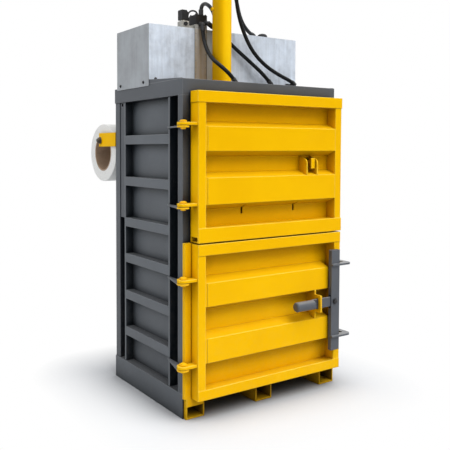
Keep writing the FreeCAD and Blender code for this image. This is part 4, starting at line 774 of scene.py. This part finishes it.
def makeValveDetails():
    build = bmesh.new()
    gland, end, nut = valve["gland"], valve["cableEnd"], valve["coilNut"]
    lathe(build, hexProfile(gland["wide"], 0.0, gland["high"]), gland["place"], toTop, steps=6)
    lathe(build, gland["cone"], gland["place"], toTop)
    lathe(build, hexProfile(end["wide"], 0.0, end["high"]) + [end["neck"]], end["place"], toTop,
          steps=6)
    lathe(build, nut["profile"], nut["place"], toFront, steps=nut["knurls"] * 2,
          wave=lambda index: 1.0 - nut["depth"] * (index % 2))
    placeMesh("glandSet", build, "frame", "black_plastic", finishes["black_plastic"])
    build = bmesh.new()
    ribs, screw = valve["ribs"], valve["plugScrew"]
    left, right, front, back = *ribs["x"], *ribs["y"]
    for level in ribs["z"]:
        boxShape(build, (left, front, level), (right, back, level + ribs["high"]))
    lathe(build, screw["profile"], screw["place"], toTop)
    placeMesh("coilRibs", build, "frame", "zinc_steel", brightZinc)


def makeFillerCap():
    build = bmesh.new()
    cap = valve["cap"]
    lathe(build, cap["profile"], cap["place"], toTop, steps=cap["flutes"] * 4,
          wave=lambda index: 1.0 - cap["depth"] * (index % 4 in (0, 1)))
    placeMesh("fillerCap", build, "frame", "black_plastic", finishes["black_plastic"],
              ("breather_cap",))


makeValveDetails()
makeFillerCap()
print("valve details made")


# strap roll: wound strap with its layers stepping a little, on the board core
roll = {"left": -0.486, "wide": 0.19, "inner": 0.1083, "outer": 0.168, "rim": 0.002,
        "strap": 0.0145, "turnDrop": 0.0008, "turnEdge": 0.001,
        "layers": 11, "step": 0.0005, "leftSwing": 2.3, "rightSwing": 1.7, "steps": 96,
        "smooth": 50.0}


def layerSteps(odd, swing):
    # the radius of each layer that shows on a side, and how far it is stepped in
    last = roll["layers"] - 1
    deep = roll["outer"] - roll["rim"] - roll["inner"]
    return [(roll["inner"] + deep * (index / last),
             roll["step"] * abs((index % 2 == odd) + math.sin(index * swing)))
            for index in range(last + 1)]


def makeStrapRoll():
    left, right, outer = roll["left"], roll["left"] + roll["wide"], roll["outer"]
    profile = [(radius, left + depth) for radius, depth in layerSteps(1, roll["leftSwing"])]
    turns = int(roll["wide"] / roll["strap"])
    wide = (roll["wide"] - 2 * roll["rim"]) / turns
    for index in range(turns):
        start = left + roll["rim"] + wide * index
        profile += [(outer - roll["turnDrop"], start), (outer, start + roll["turnEdge"]),
                    (outer, start + wide - roll["turnEdge"]),
                    (outer - roll["turnDrop"], start + wide)]
    profile += [(radius, right - depth)
                for radius, depth in reversed(layerSteps(0, roll["rightSwing"]))]
    build = bmesh.new()
    axes = Vector((0, 1, 0)), Vector((0, 0, 1))
    rings = [ring(build, Vector((along, *rollMiddle)), *axes, radius, roll["steps"])
             for radius, along in profile]
    skin(build, rings, endless=True)
    placeMesh("woundStrap", build, "strap_roll", "strap_white", finishes["strap_white"],
              ("strap_roll",), roll["smooth"])


makeStrapRoll()
print("strap roll wound")


# Geometry Nodes: bolts, rivets and weld beads
def makeTree(name, inputs):
    tree = bpy.data.node_groups.new(name, "GeometryNodeTree")
    tree.interface.new_socket("Geometry", in_out="INPUT", socket_type="NodeSocketGeometry")
    for label, value in inputs.items():
        kind = "NodeSocketMaterial" if label == "Finish" else "NodeSocketFloat"
        socket = tree.interface.new_socket(label, in_out="INPUT", socket_type=kind)
        if value is not None:
            socket.default_value = value
    tree.interface.new_socket("Geometry", in_out="OUTPUT", socket_type="NodeSocketGeometry")
    return tree, tree.nodes.new("NodeGroupInput").outputs, tree.nodes.new("NodeGroupOutput").inputs


def lift(tree, geometry, distance):
    place = addNode(tree, "ShaderNodeCombineXYZ", {"Z": distance}).outputs[0]
    return addNode(tree, "GeometryNodeTransform",
                   {"Geometry": geometry, "Translation": place}).outputs[0]


def disc(tree, radius, high, low, steps, narrower=None):
    # a round or many-sided head that starts at a height above the surface
    if narrower is None:
        inputs = {"Vertices": steps, "Radius": radius, "Depth": high}
        made = addNode(tree, "GeometryNodeMeshCylinder", inputs).outputs["Mesh"]
        return lift(tree, made, plus(tree, low, times(tree, high, 0.5)))
    inputs = {"Vertices": steps, "Radius Top": narrower, "Radius Bottom": radius, "Depth": high}
    return lift(tree, addNode(tree, "GeometryNodeMeshCone", inputs).outputs["Mesh"], low)


def joined(tree, shapes):
    whole = addNode(tree, "GeometryNodeJoinGeometry")
    for shape in shapes:
        tree.links.new(shape, whole.inputs[0])
    return whole.outputs[0]


def spread(tree, out, points, shape, finish, turn, **more):
    # the shape on every point, as plain geometry with its finish
    inputs = {"Points": points, "Instance": shape, "Rotation": turn, **more}
    copies = addNode(tree, "GeometryNodeInstanceOnPoints", inputs).outputs[0]
    real = addNode(tree, "GeometryNodeRealizeInstances", {"Geometry": copies}).outputs[0]
    done = addNode(tree, "GeometryNodeSetMaterial",
                   {"Geometry": real, "Material": finish}).outputs[0]
    feed(tree, out["Geometry"], done)


def turnTo(tree, way):
    return addNode(tree, "FunctionNodeAlignRotationToVector", {"Vector": way}, axis="Z").outputs[0]


def ownWay(tree):
    # the direction stored on each point
    inputs = {"Name": "way"}
    return addNode(tree, "GeometryNodeInputNamedAttribute", inputs,
                   data_type="FLOAT_VECTOR").outputs[0]


# heights are in metres, and wide and top are shares of the head's radius
heads = {"sunk": -0.0002, "washer": 0.0014, "washerSides": 24, "seat": 0.0012,
         "crown": {"wide": 0.86, "top": 0.72, "high": 0.0007, "sides": 18},
         "rivetRim": 0.0006, "rivetSides": 16,
         "dome": {"wide": 0.96, "top": 0.62, "high": 0.0007, "from": 0.0004},
         "button": {"wide": 0.62, "top": 0.2, "high": 0.0004, "from": 0.0011}}
beads = {"sides": 8, "rings": 5, "smallest": 0.88, "largest": 1.12, "seed": 7, "flat": 0.75}


def makeBoltTree():
    inputs = {"Head": 0.0065, "High": 0.0045, "Washer": 0.0085, "Finish": None}
    tree, given, out = makeTree("hexBolts", inputs)
    crown = heads["crown"]
    washer = disc(tree, given["Washer"], heads["washer"], heads["sunk"], heads["washerSides"])
    head = disc(tree, given["Head"], given["High"], heads["seat"], 6)
    wide, narrow = [times(tree, given["Head"], crown[part]) for part in ("wide", "top")]
    level = plus(tree, given["High"], heads["seat"])
    top = disc(tree, wide, crown["high"], level, crown["sides"], narrow)
    shape = joined(tree, (washer, head, top))
    spread(tree, out, given["Geometry"], shape, given["Finish"], turnTo(tree, ownWay(tree)))
    return tree


def makeRivetTree():
    tree, given, out = makeTree("domeRivets", {"Head": 0.0034, "Finish": None})
    shapes = [disc(tree, given["Head"], heads["rivetRim"], heads["sunk"], heads["rivetSides"])]
    for values in (heads["dome"], heads["button"]):
        wide, narrow = [times(tree, given["Head"], values[part]) for part in ("wide", "top")]
        shapes.append(disc(tree, wide, values["high"], values["from"], heads["rivetSides"], narrow))
    shape = joined(tree, shapes)
    spread(tree, out, given["Geometry"], shape, given["Finish"], turnTo(tree, ownWay(tree)))
    return tree


def makeBeadTree():
    # overlapping drops along each run, like a welder's stacked bead
    tree, given, out = makeTree("weldBeads", {"Size": 0.0026, "Step": 0.0028, "Finish": None})
    line = addNode(tree, "GeometryNodeMeshToCurve", {"Mesh": given["Geometry"]}).outputs[0]
    even = addNode(tree, "GeometryNodeResampleCurve", {"Curve": line, "Length": given["Step"]},
                   mode="LENGTH")
    inputs = {"Segments": beads["sides"], "Rings": beads["rings"], "Radius": 1.0}
    drop = addNode(tree, "GeometryNodeMeshUVSphere", inputs).outputs["Mesh"]
    inputs = {2: beads["smallest"], 3: beads["largest"], "Seed": beads["seed"]}
    change = addNode(tree, "FunctionNodeRandomValue", inputs, data_type="FLOAT").outputs[1]
    size = times(tree, given["Size"], change)
    inputs = {"X": size, "Y": size, "Z": times(tree, size, beads["flat"])}
    scale = addNode(tree, "ShaderNodeCombineXYZ", inputs).outputs[0]
    along = addNode(tree, "GeometryNodeInputTangent").outputs[0]
    spread(tree, out, even.outputs[0], drop, given["Finish"], turnTo(tree, along), Scale=scale)
    return tree


def setInput(modifier, label, value):
    for item in modifier.node_group.interface.items_tree:
        if item.item_type == "SOCKET" and item.in_out == "INPUT" and item.name == label:
            modifier[item.identifier] = value


def grow(name, tree, verts, edges, values, ways=None, angle=35.0):
    # runs a tree on a few points or lines, and keeps the result as a plain mesh
    mesh = bpy.data.meshes.new(name + "Places")
    mesh.from_pydata(verts, edges, [])
    if ways:
        layer = mesh.attributes.new("way", "FLOAT_VECTOR", "POINT")
        for item, way in zip(layer.data, ways):
            item.vector = way
    holder = bpy.data.objects.new(name + "Places", mesh)
    bpy.context.scene.collection.objects.link(holder)
    modifier = holder.modifiers.new("grow", "NODES")
    modifier.node_group = tree
    for label, value in values.items():
        setInput(modifier, label, value)
    bpy.context.view_layer.update()
    ready = holder.evaluated_get(bpy.context.evaluated_depsgraph_get())
    result = bpy.data.meshes.new_from_object(ready)
    result.name = name
    holder.modifiers.remove(modifier)
    bpy.data.objects.remove(holder)
    result.shade_smooth()
    result.set_sharp_from_angle(angle=math.radians(angle))
    return result


bolts = {
    "coverBolts": {"sideX": 0.504, "sideY": (0.017, 0.272), "sideZ": 1.648,
                   "frontX": 0.462, "frontY": -0.036, "frontZ": 1.663,
                   "head": 0.0062, "high": 0.0042, "washer": 0.0085, "replaces": ("cover_bolts",)},
    "flangeBolts": {"middle": (-0.104, -0.124), "circle": 0.087, "z": 1.644,
                    "first": 45, "count": 4,
                    "head": 0.0125, "high": 0.0078, "washer": 0.0155, "replaces": ("head_bolts",)},
    "valveScrews": {"x": (-0.204, -0.142), "y": (-0.024, 0.024), "z": 2.023,
                    "head": 0.0042, "high": 0.003, "washer": 0.0052},
    "spindleBolt": {"place": (-0.505, 0.538, 1.353), "head": 0.016, "high": 0.012, "washer": 0.0205,
                    "rod": [(0.01, 0.004), (0.01, 0.0195), (0.008, 0.0215)], "finish": dullSteel},
    "lockBolt": {"place": (0.412, -0.458, 0.48), "head": 0.0125, "high": 0.007, "washer": 0.016,
                 "rod": [(0.0069, -0.0195), (0.0069, 0.0085), (0.006, 0.0098)],
                 "body": "lock_bar", "replaces": ("lever_bolt",)},
    "lapRivets": {"x": (-0.212, -0.149), "y": -0.0375, "z": (1.668, 1.92), "count": 8,
                  "head": 0.0034, "finish": brightZinc},
}


def boltPlaces():
    # where each set's bolts stand and which way they point
    side = bolts["coverBolts"]
    places = [((sign * side["sideX"], y, side["sideZ"]), (sign, 0, 0))
              for sign in (-1, 1) for y in side["sideY"]]
    places += [((sign * side["frontX"], side["frontY"], side["frontZ"]), toFront)
               for sign in (-1, 1)]
    yield "coverBolts", places
    flange, places = bolts["flangeBolts"], []
    for index in range(flange["count"]):
        turn = math.radians(flange["first"] + 360 / flange["count"] * index)
        x, y = [middle + flange["circle"] * share
                for middle, share in zip(flange["middle"], (math.cos(turn), math.sin(turn)))]
        places.append(((x, y, flange["z"]), toTop))
    yield "flangeBolts", places
    top = bolts["valveScrews"]
    yield "valveScrews", [((x, y, top["z"]), toTop) for x in top["x"] for y in top["y"]]
    yield "spindleBolt", [(bolts["spindleBolt"]["place"], toLeft)]
    yield "lockBolt", [(bolts["lockBolt"]["place"], toFront)]
    lap = bolts["lapRivets"]
    low, high = lap["z"]
    step = (high - low) / (lap["count"] - 1)
    yield "lapRivets", [((x, lap["y"], low + step * index), toFront)
                        for x in lap["x"] for index in range(lap["count"])]


def makeBolts():
    boltTree, rivetTree = makeBoltTree(), makeRivetTree()
    for name, places in boltPlaces():
        values = bolts[name]
        tree, finish = rivetTree, values.get("finish", blackSteel)
        inputs = {"Head": values["head"], "Finish": finish}
        if "washer" in values:
            tree = boltTree
            inputs.update({"High": values["high"], "Washer": values["washer"]})
        points, ways = zip(*places)
        mesh = grow(name, tree, points, [], inputs, ways)
        if "rod" in values:
            build = bmesh.new()
            build.from_mesh(mesh)
            lathe(build, values["rod"], *places[0])
            mesh = closeMesh(build, name)
        placePiece(name, mesh, values.get("body", "frame"), "zinc_steel",
                   finish if "rod" in values else None, values.get("replaces", ()))


makeBolts()
print("bolts and rivets set")


# weld runs, as pairs of ends, for each body they are on
hingeLevels = {"upper_door": (1.04, 1.42), "lower_door": (0.272, 0.682)}
weld = {"size": 0.0024, "step": 0.0027,
        "strapX": -0.4612, "strapY": (-0.421, -0.382), "strapHalf": 0.007,
        "lugX": -0.5003, "lugY": (-0.351, -0.315), "lugLow": 0.018, "lugHigh": 0.01,
        "barY": -0.4582, "barX": (0.388, 0.444), "ears": (0.283, 0.293, 0.673, 0.683),
        "armX": -0.492, "armY": 0.3525, "armZ": (1.318, 1.394)}


def weldRuns():
    runs = {"yellowDoorUp": [], "yellowDoorLow": [], "greyFrame": [], "greyBar": [],
            "yellowArm": []}
    for door, name in (("upper_door", "yellowDoorUp"), ("lower_door", "yellowDoorLow")):
        for level in hingeLevels[door]:
            for edge in (-weld["strapHalf"], weld["strapHalf"]):
                runs[name].append([(weld["strapX"], y, level + edge) for y in weld["strapY"]])
            for edge in (-weld["lugLow"], -weld["lugHigh"]):
                runs["greyFrame"].append([(weld["lugX"], y, level + edge) for y in weld["lugY"]])
    for level in weld["ears"]:
        runs["greyBar"].append([(x, weld["barY"], level) for x in weld["barX"]])
    runs["yellowArm"].append([(weld["armX"], weld["armY"], z) for z in weld["armZ"]])
    return runs


def makeWelds():
    tree = makeBeadTree()
    owners = {"yellowDoorUp": ("upper_door", "yellow_paint"),
              "yellowDoorLow": ("lower_door", "yellow_paint"),
              "greyFrame": ("frame", "frame_paint"), "greyBar": ("lock_bar", "grey_paint"),
              "yellowArm": ("frame", "yellow_paint")}
    for name, runs in weldRuns().items():
        body, slot = owners[name]
        verts = [end for run in runs for end in run]
        edges = [(index * 2, index * 2 + 1) for index in range(len(runs))]
        values = {"Size": weld["size"], "Step": weld["step"], "Finish": finishes[slot]}
        mesh = grow(name + "Weld", tree, verts, edges, values, angle=180.0)  # smooth all over
        placePiece(name + "Weld", mesh, body, slot, None)


makeWelds()
print("weld beads laid")


# camera, light and floor
view = {
    "place": (-2.1365, -2.875, 1.2995),
    "turn": 31.903,  # degrees to the right of +Y
    "tilt": -2.538,
    "focal": 50.795,  # millimetres, as the sensor
    "sensor": 36.0,
    "shift": (0.12038, -0.10542),
}


def makeCamera():
    data = bpy.data.cameras.new("photoCamera")
    data.sensor_width = view["sensor"]
    data.lens = view["focal"]
    data.shift_x, data.shift_y = view["shift"]
    camera = bpy.data.objects.new("photoCamera", data)
    camera.location = view["place"]
    camera.rotation_euler = (math.radians(90 + view["tilt"]), 0, math.radians(-view["turn"]))
    bpy.context.scene.collection.objects.link(camera)
    bpy.context.scene.camera = camera


light = {
    "sky": colour(0.95, 0.97, 1.0), "ambient": 0.32, "white": colour(1, 1, 1),
    "key": {"from": (0.18, -0.51, 0.84), "spread": 50, "level": 0.8},  # wide, high in front
    "top": {"from": (0.05, -0.22, 1.0), "spread": 70, "level": 0.34},
    "hang": (0, 0, 4),  # where the two suns' objects stand, which changes nothing
    "side": {"place": (-2.9, 0.2, 3.2), "aim": (-0.5, 0.0, 1.2), "size": 1.6, "watts": 29},
}


def addLamp(name, data, way, place):
    lamp = bpy.data.objects.new(name, data)
    lamp.location = place
    lamp.rotation_euler = Vector(way).to_track_quat("-Z", "Y").to_euler()
    bpy.context.scene.collection.objects.link(lamp)


def makeLamps():
    for name in ("key", "top"):
        values = light[name]
        data = bpy.data.lights.new(name + "Lamp", "SUN")
        data.angle = math.radians(values["spread"])
        data.energy = values["level"] * math.pi
        addLamp(name + "Lamp", data, -Vector(values["from"]), light["hang"])
    values = light["side"]
    data = bpy.data.lights.new("sideLamp", "AREA")
    data.shape = "SQUARE"
    data.size = values["size"]
    data.energy = values["watts"]
    addLamp("sideLamp", data, Vector(values["aim"]) - Vector(values["place"]), values["place"])


def looking(tree):
    # 1 for what the camera sees, also in a mirror or through glass, and 0 for light on the object
    path = addNode(tree, "ShaderNodeLightPath").outputs
    reflected = calc(tree, "MAXIMUM", path["Is Glossy Ray"], path["Is Transmission Ray"])
    return calc(tree, "MAXIMUM", path["Is Camera Ray"], reflected)


def makeWorld():
    world = bpy.data.worlds.new("studio")
    world.use_nodes = True
    tree = world.node_tree
    tree.nodes.clear()
    plain = addNode(tree, "ShaderNodeBackground",
                    {"Color": light["sky"], "Strength": light["ambient"]})
    white = addNode(tree, "ShaderNodeBackground", {"Color": light["white"], "Strength": 1.0})
    inputs = {0: looking(tree), 1: plain.outputs[0], 2: white.outputs[0]}
    mix = addNode(tree, "ShaderNodeMixShader", inputs)
    addNode(tree, "ShaderNodeOutputWorld", {"Surface": mix.outputs[0]})
    bpy.context.scene.world = world


# foot is half of the object's size on the floor; from near to far outside it the floor turns white
# the dark colour and its share paint the floor's shadow near the object
floor = {"colour": colour(0.655, 0.668, 0.69), "dark": colour(0.03, 0.03, 0.032), "reach": 0.26,
         "paintedShadeShare": 0.8, "half": 14.0, "foot": (0.5, 0.42, 0.0), "near": 0.02, "far": 0.45}


def makeFloor():
    # matt and pale, with a painted shadow where the object closes it in; away from the object the
    # camera sees it as white as the background
    mesh = bpy.data.meshes.new("floorSheet")
    half = floor["half"]
    corners = [(-half, -half, 0), (half, -half, 0), (half, half, 0), (-half, half, 0)]
    mesh.from_pydata(corners, [], [(0, 1, 2, 3)])
    sheet = bpy.data.objects.new("floorSheet", mesh)
    bpy.context.scene.collection.objects.link(sheet)
    material = bpy.data.materials.new("paleFloor")
    material.use_nodes = True
    tree = material.node_tree
    tree.nodes.clear()
    # painted shadow: the floor is darker where the object closes it in
    near = placeGroup(tree, creaseGroup, Reach=floor["reach"])["Crease"]
    tone = over(tree, floor["colour"], near, floor["paintedShadeShare"], floor["dark"])
    matt = addNode(tree, "ShaderNodeBsdfDiffuse", {"Color": tone})
    white = addNode(tree, "ShaderNodeEmission", {"Color": light["white"], "Strength": 1.0})
    flat = vectorCalc(tree, "ABSOLUTE", vectorCalc(tree, "MULTIPLY", objectPlace(tree), (1, 1, 0)))
    outside = vectorCalc(tree, "MAXIMUM", vectorCalc(tree, "SUBTRACT", flat, floor["foot"]))
    away = vectorCalc(tree, "LENGTH", outside, output="Value")
    seen = times(tree, remap(tree, away, floor["near"], floor["far"]), looking(tree))
    mix = addNode(tree, "ShaderNodeMixShader", {0: seen, 1: matt.outputs[0], 2: white.outputs[0]})
    addNode(tree, "ShaderNodeOutputMaterial", {"Surface": mix.outputs[0]})
    mesh.materials.append(material)


makeCamera()
makeLamps()
makeWorld()
makeFloor()
bpy.context.scene.view_settings.view_transform = "Standard"
print("camera, light and floor set")
